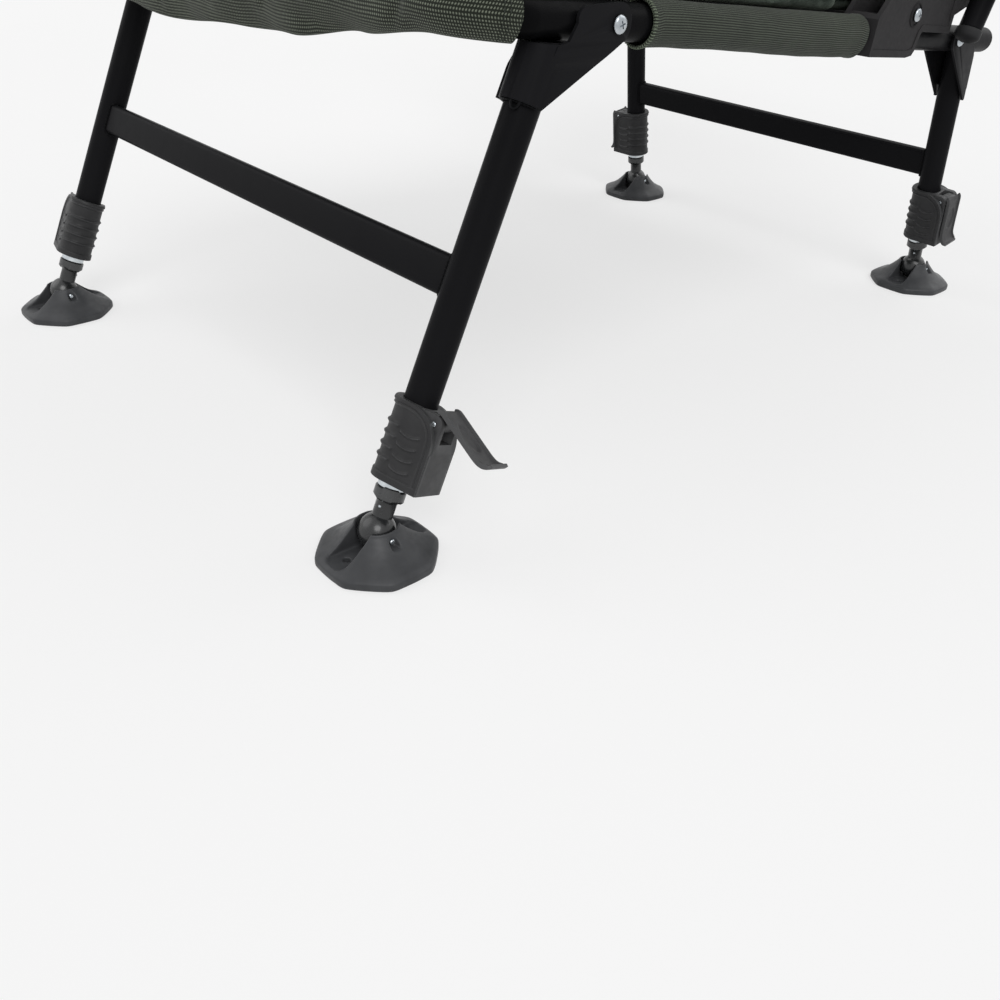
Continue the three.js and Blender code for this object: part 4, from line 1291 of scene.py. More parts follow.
@dataclass
class LegFrame:
    """A pair of outer legs with their brackets, welded to one crossbar."""

    places: Places
    palette: Palette
    end: End
    bar_rise: float
    lean: float
    radius: float = 11.0
    wall: float = 1.3
    gap: float = 0.3
    tube_start: float = 45.9
    bar_half_width: float = 12.5
    bar_half_thickness: float = 6.0
    bar_edge: float = 4.0
    sheet: float = 2.0
    cheek_inner: float = 12.4
    arm: float = 11.5
    sleeve_length: float = 36.0
    reach: float = 36.0
    notch: float = 7.0
    cheek_tail: float = 4.0
    cheek_top: float = 4.0
    cheek_rise: float = 3.0
    web_length: float = 32.0
    web_top: float = 12.0
    tip_drop: float = 52.0
    top_reach: float = 42.0
    top_drop: float = 9.0

    @property
    def body(self) -> str:
        """The body that the legs move with."""
        return f"{self.end.value}_legs"

    def build(self) -> None:
        """Makes the two legs, their brackets and the crossbar."""
        for side in Side:
            corner = Corner(self.end, side)
            tube = made(f"outer_leg_{corner.label}", self.tube(corner), sharp=30.0)
            dress(tube, self.palette.steel, self.body, "powder_coated_steel", f"leg_tube_{corner.label}")
            bracket = self.front_bracket(corner) if self.end is End.FRONT else self.rear_bracket(corner)
            solid = f"leg_bracket_{corner.label}"
            dress(bracket, self.palette.steel, self.body, "powder_coated_steel", solid)
        bar = self.crossbar()
        dress(bar, self.palette.steel, self.body, "powder_coated_steel", f"leg_crossbar_{self.end.value}")

    def under_rail(self, gap: float) -> tuple[Vector, float]:
        """The plane just under the rail, as its normal and its distance from the origin.

        Args:
            gap: How far under the rail's surface it lies.

        Returns:
            The normal and the distance.
        """
        seat = self.places.seat()
        normal = seat.to_3x3() @ Z
        return normal, normal.dot(seat @ Vector((0, 0, -self.radius - gap)))

    def tube(self, corner: Corner) -> Form:
        """The outer leg, square at its foot and mitred under the rail.

        Args:
            corner: The leg's corner.

        Returns:
            The tube's form.
        """
        leg = self.places.leg(corner)
        normal, distance = self.under_rail(self.gap)
        slant = normal.dot(leg.to_3x3() @ Z)
        inner, edge = self.radius - self.wall, 0.35

        def ring(radius: float, height: float | None, drop: float = 0.0) -> list[Vector]:
            """A ring at a height, or where the tube meets the plane.

            Args:
                radius: The ring's radius.
                height: Its height, or None where it meets the plane.
                drop: How far it stays below the plane.

            Returns:
                The ring's points.
            """
            loop = []
            for k in range(64):
                turn = 2 * math.pi * k / 64
                rim = Vector((radius * math.cos(turn), radius * math.sin(turn), 0))
                rim.z = (distance - normal.dot(leg @ rim)) / slant - drop if height is None else height
                loop.append(leg @ rim)
            return loop

        low = self.tube_start
        loops = [ring(inner, low), ring(self.radius, low), ring(self.radius, None, edge)]
        loops += [ring(self.radius - edge, None), ring(inner, None), ring(inner, low)]
        return rings(loops, closed=True, capped=False)

    def crossbar(self) -> bpy.types.Object:
        """The flat tube between the legs, fitted to them and welded round its ends.

        Returns:
            The crossbar.
        """
        right, left = (self.places.leg(Corner(self.end, side)) for side in Side)
        axis = right.to_3x3() @ Z
        height = self.bar_rise
        middle = right.translation + axis * (height / axis.z)
        middle.x = self.places.middle
        tilt = Matrix.Rotation(-math.radians(self.lean), 4, "X")
        place = Matrix.Translation(middle) @ tilt
        w, t, r = self.bar_half_width, self.bar_half_thickness, self.bar_edge
        corners = [((t - r, w - r), 0), ((r - t, w - r), 90), ((r - t, r - w), 180), ((t - r, r - w), 270)]
        outline = [p for centre, start in corners for p in arc(centre, r, start, start + 90, 6)]
        ends = []
        beads = Form()
        for leg, sign in ((left, -1), (right, 1)):
            loop = [self.on_leg(place, leg, sign, u, v, self.gap) for u, v in outline]
            ends.append([place.inverted() @ p for p in loop])
            seam = [self.on_leg(place, leg, sign, 1.04 * u, 1.04 * v, 0.5) for u, v in outline]
            beads.add(weld(self.resampled(seam, 0.8), 1.2, closed=True))
        bar = made(f"flat_bar_{self.end.value}", rings(ends, closed=True), place, 30.0)
        return merged(bar, made("beads", beads))

    def on_leg(self, place: Matrix, leg: Matrix, sign: int, u: float, v: float, gap: float) -> Vector:
        """Where a line along the bar meets a leg's surface, seen from the middle.

        Args:
            place: The bar's frame.
            leg: The leg's frame.
            sign: 1 for the right leg, -1 for the left one.
            u: The line's place across the bar's thickness.
            v: The line's place across its width.
            gap: How far outside the leg's surface it stops.

        Returns:
            The point.
        """
        start = place @ Vector((0, u, v))
        axis, origin = leg.to_3x3() @ Z, leg.translation
        flat = X - axis * X.dot(axis)
        offset = (start - origin) - axis * (start - origin).dot(axis)
        a, b = flat.length_squared, 2 * flat.dot(offset)
        c = offset.length_squared - (self.radius + gap) ** 2
        root = math.sqrt(max(0.0, b * b - 4 * a * c))
        return start + X * ((-b - sign * root) / (2 * a))

    @staticmethod
    def resampled(loop: list[Vector], step: float) -> list[Vector]:
        """A closed path with points a small step apart.

        Args:
            loop: The path's corners.
            step: About how far apart the points are.

        Returns:
            The points.
        """
        points = []
        for a, b in zip(loop, loop[1:] + loop[:1]):
            count = max(1, round((b - a).length / step))
            points += [a.lerp(b, i / count) for i in range(count)]
        return points

    def bolt_frame(self, side: Side) -> Matrix:
        """The frame of a leg's bolt: level, its origin on the side rail's axis.

        Args:
            side: The leg's side.

        Returns:
            The frame.
        """
        along = self.places.bolt_along(self.end)
        spot = Vector((side.value * self.places.rail_half(along), along, 0))
        return Matrix.Translation(self.places.seat() @ spot)

    def leg_length(self, corner: Corner) -> float:
        """From the ball's centre to the side rail's axis, up the leg.

        Args:
            corner: The leg's corner.

        Returns:
            The length.
        """
        leg = self.places.leg(corner)
        normal, distance = self.under_rail(-self.radius)
        return (distance - normal.dot(leg.translation)) / normal.dot(leg.to_3x3() @ Z)

    def cheeks(self, corner: Corner, outline: Outline) -> bpy.types.Object:
        """Two sheet cheeks of one outline, set astride the tapering rail.

        Args:
            corner: The leg's corner.
            outline: The cheeks' outline, from the bolt back and up.

        Returns:
            The pair.
        """
        place = self.bolt_frame(corner.side) @ self.places.rail_turn(corner.side)
        pair = Form()
        for low in (-self.cheek_inner - self.sheet, self.cheek_inner):
            pair.add(prism(outline, low, low + self.sheet, Plane.YZ))
        return made(f"bracket_{corner.label}", pair, place)

    def squared(self, corner: Corner, bracket: bpy.types.Object) -> bpy.types.Object:
        """Turns the cheeks out of the rail's taper below it, until they lie square with the wrap.

        Args:
            corner: The leg's corner.
            bracket: The pair of cheeks.

        Returns:
            The same pair.
        """
        spot = self.bolt_frame(corner.side).translation
        slope = corner.side.value * math.tan(math.radians(self.places.taper))
        work = bmesh.new()
        work.from_mesh(bracket.data)
        for drop in (9.0, 11.5, 14.0, 17.0, 20.0, 22.0):
            geometry = [*work.verts, *work.edges, *work.faces]
            bmesh.ops.bisect_plane(work, geom=geometry, plane_co=(spot - Z * drop) * MM, plane_no=Z)
        for vertex in work.verts:
            offset = vertex.co / MM - spot
            vertex.co.x += slope * offset.y * ease(-offset.z, 9, 22) * MM
        work.to_mesh(bracket.data)
        work.free()
        return bracket

    def wrap(self, corner: Corner, low: float, high: float, front: bool) -> bpy.types.Object:
        """The half sleeve round a leg that joins the two cheeks.

        Args:
            corner: The leg's corner.
            low: Its lower end, up the leg.
            high: Its upper end.
            front: Whether it is on the leg's front.

        Returns:
            The half sleeve.
        """
        outer = self.cheek_inner + self.sheet
        facing = 180 if front else 0
        facing = facing if corner.side is Side.RIGHT else facing + 180
        outline = arc((0, 0), outer, facing, facing + 180, 36)
        return made("wrap", prism(outline, low, high, Plane.XY), self.places.leg(corner))

    def trimmed(self, corner: Corner, bracket: bpy.types.Object, wrap: bpy.types.Object) -> bpy.types.Object:
        """Fuses the wrap on, cuts the leg, the rail and the bolt hole out, and rounds the edges.

        Args:
            corner: The leg's corner.
            bracket: The pair of cheeks.
            wrap: The half sleeve, which it takes in.

        Returns:
            The bracket.
        """
        leg = self.places.leg(corner)
        length = self.leg_length(corner)
        size = 60.0
        slab = prism([(-size, -size), (size, -size), (size, size), (-size, size)], 0, size, Plane.XY)
        seat = self.places.seat()
        top = seat.inverted() @ (leg @ Vector((0, 0, length)))
        top.z = -self.radius - 0.8
        combined(wrap, Joining.CUT, made("slab", slab, seat @ Matrix.Translation(top)))
        combined(bracket, Joining.FUSE, wrap)
        rod = swept([Vector((0, 0, 20)), Vector((0, 0, length + 30))], self.radius + self.gap, X, 64)
        hole = swept([X * -30, X * 30], 3.3, Z, 24)
        tools = [made("rod", rod, leg), made("hole", hole, self.bolt_frame(corner.side))]
        combined(bracket, Joining.CUT, *tools)
        return rounded(bracket, 0.45, 2, 40.0)

    def front_bracket(self, corner: Corner) -> bpy.types.Object:
        """The front bracket: a sheet round the front of the leg with two cheeks back to the bolt.

        Args:
            corner: The leg's corner.

        Returns:
            The bracket.
        """
        leg, bolt = self.places.leg(corner), self.bolt_frame(corner.side).translation
        top = leg @ Vector((0, 0, self.leg_length(corner))) - bolt
        sin, cos = math.sin(math.radians(self.lean)), math.cos(math.radians(self.lean))
        start = self.radius / cos

        def on_leg(down: float, behind: float) -> tuple[float, float]:
            """A place down the leg from the rail's axis and behind the leg's axis."""
            return top.y - down * sin + behind * cos, top.z - down * cos - behind * sin

        def round_leg(radius: float, turn: float, rise: float) -> Vector:
            """A place round the leg's axis."""
            return leg @ Vector((radius * math.cos(turn), radius * math.sin(turn), rise))

        outline = [on_leg(start + self.sleeve_length, -2 * self.sheet)]
        outline += [on_leg(start + self.sleeve_length, self.cheek_tail), *arc((0, 0), self.arm, -55, 90, 18)]
        round_place = (-self.reach + self.notch, self.arm - self.notch)
        outline += arc(round_place, self.notch, 90, 180 + self.lean / 2, 12)
        outline.append(on_leg(start - self.cheek_rise, self.cheek_top))
        outline.append(on_leg(start + self.cheek_rise, -2 * self.sheet))
        low = self.leg_length(corner) - start - self.sleeve_length
        bracket = self.squared(corner, self.cheeks(corner, outline))
        wrap = self.wrap(corner, low, self.leg_length(corner) + self.radius, front=True)
        self.trimmed(corner, bracket, wrap)
        turns = [math.radians(a) for a in range(188, 353, 3)]
        if corner.side is Side.LEFT:
            turns = [t - math.pi for t in turns]
        seam = [round_leg(12.6, t, low - 0.3) for t in turns]
        lug_turn = turns[len(turns) // 3] if corner.side is Side.LEFT else turns[-len(turns) // 3]
        run = ((-2.6, -1.0), (-2.4, 2.0), (-1.2, 4.0), (0.3, 4.4), (1.6, 3.4), (2.4, 1.6), (2.6, -1.0))
        lug = [round_leg(13.2, lug_turn + a / 13, low - d) for a, d in run]
        beads = weld(seam, 0.9, closed=False).add(swept(lug, 0.8, X, 8))
        return merged(bracket, made("beads", beads))

    def rear_bracket(self, corner: Corner) -> bpy.types.Object:
        """The rear bracket: two cheeks that taper down the leg to a tip, joined behind it.

        Args:
            corner: The leg's corner.

        Returns:
            The bracket.
        """
        leg, bolt = self.places.leg(corner), self.bolt_frame(corner.side).translation
        length = self.leg_length(corner)
        top = leg @ Vector((0, 0, length)) - bolt
        sin, cos = math.sin(math.radians(self.lean)), math.cos(math.radians(self.lean))
        tip = (top.y - self.tip_drop * sin, top.z - self.tip_drop * cos)
        r = self.sheet
        outline = arc(tip, r, 180, 360, 8)
        outline += [(self.top_reach, -self.top_drop - r), (self.top_reach - r, -self.top_drop)]
        outline += arc((0, 0), self.arm, 70, 215, 18)
        bracket = self.cheeks(corner, outline)
        low = length - self.web_top - self.web_length
        wrap = self.wrap(corner, low, length - self.web_top, front=False)
        return self.trimmed(corner, bracket, wrap)


# Sliding legs, clamps and feet


@dataclass
class SlidingLegs:
    """The plated inner legs, and the moulded plugs whose balls stand in the feet."""

    places: Places
    palette: Palette
    radius: float = 9.4
    wall: float = 1.2
    start: float = 30.3
    length: float = 165.0
    ball: float = 12.5
    stem: float = 6.75
    collar: float = 10.2
    collar_start: float = 22.0
    collar_end: float = 30.0
    spigot: float = 7.9
    pin: float = 2.0
    pin_half: float = 17.0
    scallops: int = 3
    scallop: float = 1.0
    tab: float = 1.3
    around: int = 96
    rivet_turn: float = 1.27

    def build(self) -> None:
        """Makes one of each part and puts a copy at each corner."""
        tube = made("inner_tube", turned_tube(self.radius, self.wall, self.start, self.start + self.length))
        plug = self.plug()
        rivet = made("rivet", lathe([(0, -2), (1.0, -2), (1.0, 0.1), (0.7, 0.5), (0, 0.65)], 16))
        r, end = self.pin, self.pin_half
        ends = [(0, -end), (r - 0.5, -end), (r, 0.5 - end), (r, end - 0.5), (r - 0.5, end), (0, end)]
        pin = made("pin", lathe(ends, 24).moved(Matrix.Rotation(math.pi / 2, 4, "Y")))
        for corner in CORNERS:
            leg, body, name = self.places.leg(corner), f"inner_leg_{corner.label}", corner.label
            inner = copy_at(tube, f"plated_leg_{name}", leg)
            dress(inner, self.palette.plated_tube, body, "plated_tube", f"inner_leg_{name}")
            moulded = copy_at(plug, f"ball_stem_{name}", leg)
            dress(moulded, self.palette.plug, body, "plug_plastic", f"ball_plug_{name}")
            turn = -self.rivet_turn if corner.side is Side.RIGHT else self.rivet_turn + math.pi
            place = leg @ Matrix.Rotation(turn, 4, "Z") @ shift(x=self.stem, z=self.collar_start - 4.5)
            place = place @ Matrix.Rotation(math.pi / 2, 4, "Y")
            dress(copy_at(rivet, f"stem_rivet_{name}", place), self.palette.zinc, body, "zinc_plated_steel")
            foot = copy_at(pin, f"ball_pin_{name}", self.places.foot(corner))
            dress(foot, self.palette.zinc, f"foot_{name}", "zinc_plated_steel", f"foot_pin_{name}")
        forget(tube, plug, rivet, pin)

    def plug(self) -> bpy.types.Object:
        """The ball, its stem, a collar with a scalloped lower edge, and the spigot inside the leg.

        Returns:
            The plug.
        """
        joint = math.acos(self.stem / self.ball)
        turns = [-math.pi / 2 + (math.pi / 2 + joint) * i / 24 for i in range(25)]
        outline = [(self.ball * math.cos(t), self.ball * math.sin(t)) for t in turns]
        outline += [(self.stem, self.collar_start - 1.6), (self.stem + 0.6, self.collar_start - 0.6)]
        lip = len(outline)
        outline += [(self.collar - 1.1, self.collar_start - 0.2), (self.collar, self.collar_start + 1.0)]
        outline += [(self.collar, self.collar_end - 0.7), (self.collar - 0.7, self.collar_end)]
        end, count = self.collar_end, self.around
        outline += [(self.spigot, end), (self.spigot, end + 12), (0, end + 12)]
        form = lathe(outline, count)
        for k in range(count):
            wave = math.cos(2 * math.pi * k * self.scallops / count)
            peak = math.cos(2 * math.pi * k / count + 0.7)
            for i in (lip, lip + 1):
                form.points[i * count + k].z += self.scallop * max(0.0, wave) ** 0.5
                form.points[(i + 2) * count + k].z += self.tab * ease(peak, 0.8, 0.9)
        reach = self.ball + 4
        bore = made("bore", swept([X * -reach, X * reach], self.pin + 0.6, Z, 20))
        return combined(made("plug", form, sharp=32.0), Joining.CUT, bore)


@dataclass
class LeverClamp:
    """The moulded clamp on each outer leg: a ribbed shell, a box for the lever's pin, and the lever."""

    places: Places
    palette: Palette
    height: float = 52.0
    reach: float = 25.5
    arch: float = 28.0
    arch_power: float = 2.2
    half_width: float = 14.0
    back: float = 14.9
    bore: float = 11.45
    inner_bore: float = 9.9
    step: float = 8.0
    box_reach: float = 25.9
    box_half: float = 11.6
    base_half: float = 13.6
    base_top: float = 27.0
    channel_half: float = 6.8
    channel_floor: float = 14.0
    window: float = 34.0
    pin_reach: float = 20.0
    pin_rise: float = 45.0
    pin: float = 1.6
    hub: float = 4.9
    hub_half: float = 6.5
    paddle_half: float = 11.0
    ridge_middle: float = 8.6
    ridge_half: float = 7.6
    flank_ridges: tuple[float, ...] = (9.0, 16.6, 24.2, 31.8)
    back_ridges: tuple[float, ...] = (13.6, 21.0, 28.4, 35.8)

    def build(self) -> None:
        """Makes one of each part and puts a copy at each corner."""
        shell, box, lever = self.shell(), self.box(), self.lever()
        r, end = self.pin, self.box_half + 0.35
        ends = [(0, -end), (r - 0.4, -end), (r, -self.box_half), (r, self.box_half), (r - 0.4, end), (0, end)]
        pin = made("pin", lathe(ends, 20).moved(Matrix.Rotation(math.pi / 2, 4, "X")))
        for corner in CORNERS:
            place, name, body = self.places.clamp(corner), corner.label, f"{corner.end.value}_legs"
            outer = copy_at(shell, f"clamp_shell_{name}", place)
            dress(outer, self.palette.nylon, body, "nylon_plastic", f"clamp_body_{name}")
            # The box and the lever take the paler nylon copy, painted lighter as if lit; the shell keeps the
            # plain nylon.
            carrier = copy_at(box, f"clamp_box_{name}", place)
            dress(carrier, self.palette.nylon_box, body, "nylon_plastic", f"clamp_body_{name}")
            hinge = copy_at(pin, f"lever_pin_{name}", place @ shift(self.pin_reach, 0, self.pin_rise))
            dress(hinge, self.palette.zinc, body, "zinc_plated_steel", f"clamp_pin_{name}")
            paddle = copy_at(lever, f"lever_{name}", self.places.lever(corner))
            dress(paddle, self.palette.nylon_box, f"lever_{name}", "nylon_plastic", f"clamp_lever_{name}")
        forget(shell, box, lever, pin)

    def reach_at(self, z: float) -> float:
        """How far the shell's flank reaches outboard at a height.

        Args:
            z: The height.

        Returns:
            The reach.
        """
        over = (z - self.arch) / (self.height - self.arch)
        power = self.arch_power
        return self.reach if over <= 0 else self.reach * max(0.0, 1 - over**power) ** (1 / power)

    def inset(self, x: float, z: float) -> float:
        """How far a place on the flank or back is inside the shell's outline.

        Args:
            x: Its place outboard of the leg's axis.
            z: Its height.

        Returns:
            The distance.
        """
        if x <= 0:
            return self.height - z
        if z <= self.arch:
            return self.reach - x
        power, over = self.arch_power, (z - self.arch) / (self.height - self.arch)
        size = ((x / self.reach) ** power + over**power) ** (1 / power)
        return math.hypot(x, z - self.arch) * (1 / size - 1)

    def relief(self, x: float, z: float) -> float:
        """How far the shell's surface stands proud at a place on its flank or back.

        Args:
            x: Its place outboard of the leg's axis.
            z: Its height.

        Returns:
            The relief's height.
        """
        inset = self.inset(x, z)
        rise = 0.85 * (1 - ease(inset, 2.3, 2.9)) + 0.55 * math.exp(-(((inset - 4.5) / 0.6) ** 2))
        rise = max(rise, 0.9 * (1 - ease(z, 4.3, 4.9)))
        bead = 1 - ((z - self.height + 2.7) / 2.6) ** 2
        if x < 0 < bead:
            rise += 0.9 * math.sqrt(bead) * ease(-x, 1.0, 7.0)
        for line in self.flank_ridges:
            off = x - self.ridge_middle
            bend = line + 1.9 * (off / self.ridge_half) ** 2
            ends = 1 - ease(abs(off), self.ridge_half - 0.8, self.ridge_half)
            rise += 1.2 * ends * math.exp(-(((z - bend) / 0.8) ** 2))
        for line in self.back_ridges:
            rise += 1.4 * ease(-x, 0.2, 1.2) * math.exp(-(((z - line) / 1.1) ** 2))
        return rise

    def shell(self) -> bpy.types.Object:
        """The D shaped shell with its rims, arched border and two columns of ridges.

        Returns:
            The shell.
        """
        levels, flank, back, across = 104, 44, 44, 6
        loops = []
        for i in range(levels + 1):
            z = self.height * i / levels
            reach = self.reach_at(z)
            loop = []
            for k in range(flank):
                x = reach * (1 - k / flank)
                loop.append(Vector((x, -self.half_width - self.relief(x, z), z)))
            for k in range(back + 1):
                turn = math.pi * k / back
                out = Vector((-math.sin(turn), -math.cos(turn), 0))
                base = Vector((self.back * out.x, self.half_width * out.y, z))
                loop.append(base + out * self.relief(base.x, z))
            for k in range(1, flank + 1):
                x = reach * k / flank
                loop.append(Vector((x, self.half_width + self.relief(x, z), z)))
            for k in range(1, across):
                loop.append(Vector((reach, self.half_width * (1 - 2 * k / across), z)))
            loops.append(loop)
        shell = made("shell", rings(loops, closed=True))
        room = [(self.channel_floor, self.base_top - 0.1), (self.reach + 9, self.base_top - 0.1)]
        room += [(self.reach + 9, self.height + 9), (self.channel_floor, self.height + 9)]
        lug = made("room", prism(room, -self.box_half - 0.1, self.box_half + 0.1, Plane.XZ))
        slide = made("slide", swept([Z * -4, Z * (self.step + 2)], self.inner_bore, X, 64))
        return frozen(combined(shell, Joining.CUT, self.leg_bore(), slide, lug), 38.0)

    def leg_bore(self) -> bpy.types.Object:
        """The body that clears the outer leg."""
        return made("bore", swept([Z * self.step, Z * (self.height + 6)], self.bore, X, 64))

    def box(self) -> bpy.types.Object:
        """The box outboard of the shell that carries the lever's pin, with its window.

        Returns:
            The box.
        """
        reach, rise = self.box_reach, self.pin_rise
        corner = reach - self.pin_reach
        outline = [(8.5, 0), (reach, 0), (reach, rise), *arc((self.pin_reach, rise), corner, 0, 90, 8)[1:]]
        outline.append((8.5, rise + corner))
        body = made("box", prism(outline, -self.box_half, self.box_half, Plane.XZ))
        foot = [(12, 0), (reach, 0), (reach, self.base_top), (12, self.base_top)]
        base = prism(foot, -self.base_half, self.base_half, Plane.XZ)
        combined(body, Joining.FUSE, made("base", base))
        gap = [(self.channel_floor, self.window), (reach + 5, self.window)]
        gap += [(reach + 5, self.height + 4), (self.channel_floor, self.height + 4)]
        channel = made("channel", prism(gap, -self.channel_half, self.channel_half, Plane.XZ))
        pin = made("hole", swept([Y * -20, Y * 20], self.pin + 0.2, Z, 24), shift(self.pin_reach, 0, rise))
        spot = shift(self.pin_reach + 0.6, 0, rise - 6.4)
        notches = [made("notch", swept([Y * w * 9.8, Y * w * 20], 1.5, Z, 20), spot) for w in (-1, 1)]
        combined(body, Joining.CUT, channel, pin, *notches, self.leg_bore())
        return rounded(body, 0.6, 3)

    def lever(self) -> bpy.types.Object:
        """The lever about its pin, drawn shut: hub, neck, flanged paddle with a dish, curled lip.

        Returns:
            The lever.
        """
        spine = [(6.4, 3.9), (7.3, 3.0), (7.9, 1.0), (7.9, -4), (7.9, -12), (7.9, -20), (7.9, -28)]
        spine += [(8.0, -33), (8.5, -36.6), (9.9, -39.8), (12.2, -42.0), (15.0, -42.9)]
        path = smooth_path([Vector((x, 0, z)) for x, z in spine], 7)
        travelled = [0.0]
        for a, b in zip(path, path[1:]):
            travelled.append(travelled[-1] + (b - a).length)
        loops, columns = [], 28
        for i, centre in enumerate(path):
            ahead = (path[min(i + 1, len(path) - 1)] - path[max(i - 1, 0)]).normalized()
            out = Vector((-ahead.z, 0, ahead.x))
            end = travelled[-1] - travelled[i]
            half = self.paddle_half * (1 - 0.1 * (1 - ease(end, 0, 3)))
            outer, inner = [], []
            for k in range(columns + 1):
                y = half * (2 * k / columns - 1)
                flange = 1.3 * ease(abs(y), half - 2.0, half - 1.5) * ease(end, 0.0, 5.0)
                dish = math.hypot((travelled[i] - 22) / 11.0, y / 6.2)
                rise = 1.15 + flange - 1.25 * (1 - ease(dish, 0.86, 1.0))
                if k in (0, columns):
                    rise -= 0.4
                outer.append(centre + out * rise + Y * y)
                inner.append(centre - out * (1.15 if 0 < k < columns else 0.8) + Y * y)
            loops.append(outer + inner[::-1])
        paddle = made("lever", rings(loops, closed=True), sharp=40.0)
        hub = made("hub", swept([Y * -self.hub_half, Y * self.hub_half], self.hub, Z, 40))
        side = [(0, -self.hub), (7.4, -self.hub), (7.4, 2.6), (5.6, 4.0), (0, self.hub)]
        neck = made("neck", prism(side, -self.hub_half, self.hub_half, Plane.XZ))
        return merged(paddle, rounded(hub, 0.4), rounded(neck, 0.4))


def smooth_path(points: Sequence[Vector], steps: int) -> list[Vector]:
    """A curve through points.

    Args:
        points: The points it runs through.
        steps: How many stretches lie between each two.

    Returns:
        The curve's points.
    """
    padded = [2 * points[0] - points[1], *points, 2 * points[-1] - points[-2]]
    curve = []
    for a, b, c, d in zip(padded, padded[1:], padded[2:], padded[3:]):
        for i in range(steps):
            t = i / steps
            curve.append(0.5 * (
                2 * b
                + (c - a) * t
                + (2 * a - 5 * b + 4 * c - d) * t**2
                + (3 * b - a - 3 * c + d) * t**3
            ))
    return [*curve, points[-1]]


@dataclass
class MudFoot:
    """A moulded octagonal foot about the ball: a flat rim, a hollow cone, two troughs and pin slots."""

    places: Places
    palette: Palette
    half_across: float = 39.0
    sole: float = -19.3
    rim: float = 6.0
    shoulder: float = 3.0
    top: float = 15.0
    top_rise: float = 5.0
    socket: float = 13.4
    slot_half: float = 8.6
    slot_reach: float = 28.5
    slot_floor: float = -12.0
    pin_slot: tuple[float, float, float] = (18.2, 25.0, 3.1)

    def build(self) -> None:
        """Makes one foot and puts a copy at each corner."""
        foot = self.foot()
        for corner in CORNERS:
            copy = copy_at(foot, f"mud_foot_{corner.label}", self.places.foot(corner))
            dress(copy, self.palette.foot, f"foot_{corner.label}", "nylon_plastic", f"foot_{corner.label}")
        forget(foot)

    def outline(self, turn: float, half: float) -> float:
        """The radius of an octagon with rounded corners, at an angle.

        Args:
            turn: The angle.
            half: Half its width across the flats.

        Returns:
            The radius.
        """
        off = (turn + math.pi / 8) % (math.pi / 4) - math.pi / 8
        corner, sharpness = half * 1.058, 28
        return ((half / math.cos(off)) ** -sharpness + corner**-sharpness) ** (-1 / sharpness) * 1.001

    def ring(self, size: float, rise: float, octagon: float) -> list[Vector]:
        """A ring of the foot, from round at 0 to octagonal at 1.

        Args:
            size: Its half width.
            rise: Its height over the ball's centre.
            octagon: How octagonal it is.

        Returns:
            The ring's points.
        """
        loop = []
        for k in range(120):
            turn = 2 * math.pi * k / 120
            radius = size + (self.outline(turn, size) - size) * octagon
            loop.append(Vector((radius * math.cos(turn), radius * math.sin(turn), rise)))
        return loop

    def foot(self) -> bpy.types.Object:
        """The moulding, with soft edges.

        Returns:
            The foot.
        """
        h, rim = self.half_across - 0.35, self.sole + self.rim
        loops = [self.ring(1.0, self.sole, 0), self.ring(h - 0.6, self.sole, 1)]
        loops += [self.ring(h, self.sole + 0.8, 1), self.ring(h, rim - 0.8, 1), self.ring(h - 0.7, rim, 1)]
        loops += [self.ring(h - self.shoulder, rim + self.shoulder / 2, 1)]
        for share in (0.12, 0.25, 0.4, 0.55, 0.7, 0.85, 1.0):
            size = (h - self.shoulder) + (self.top - h + self.shoulder) * share
            low = rim + self.shoulder / 2
            sag = 2.4 * math.sin(math.pi * share)
            rise = low + (self.top_rise - low) * share - sag
            loops.append(self.ring(size, rise, (1 - share) ** 1.5))
        loops.append(self.ring(13.0, self.top_rise, 0))
        loops.append(self.ring(1.0, self.top_rise, 0))
        body = made("foot", rings(loops, closed=True))
        lip = lathe([(13.3, 2), (15.1, 2), (15.0, 5.9), (14.3, 6.4), (13.5, 6.0), (13.3, 2)], 64)
        lip.faces = lip.faces[:-2]
        combined(body, Joining.FUSE, made("lip", lip))
        turns = [-math.pi / 2 + math.pi * i / 20 for i in range(21)]
        ball = lathe([(self.socket * math.cos(t), self.socket * math.sin(t)) for t in turns], 48)
        mouth = swept([Z * 0, Z * 20], self.socket, X, 48)
        tools = [made("ball", ball), made("mouth", mouth)]
        for way in (-1, 1):
            end = (0, way * self.slot_reach)
            sweep = (180, 360) if way < 0 else (0, 180)
            start = [(-self.slot_half, 0), (self.slot_half, 0)]
            trough = arc(end, self.slot_half, *sweep, 20) + (start[::-1] if way < 0 else start)
            tools.append(made("trough", prism(trough, self.slot_floor, 20, Plane.XY)))
            drain = swept([Z * -25, Z * -5], 2.5, X, 24)
            tools.append(made("drain", drain, shift(0, way * (self.slot_reach - 5), 0)))
            near, far, half = self.pin_slot
            right, left = max(way * near, way * far), min(way * near, way * far)
            slot = arc((right, 0), half, -90, 90, 10) + arc((left, 0), half, 90, 270, 10)
            tools.append(made("slot", prism(slot, -half, 20, Plane.XY)))
        combined(body, Joining.CUT, *tools)
        return softened(body, 0.75, 4)


# Recliner housings and the back frame


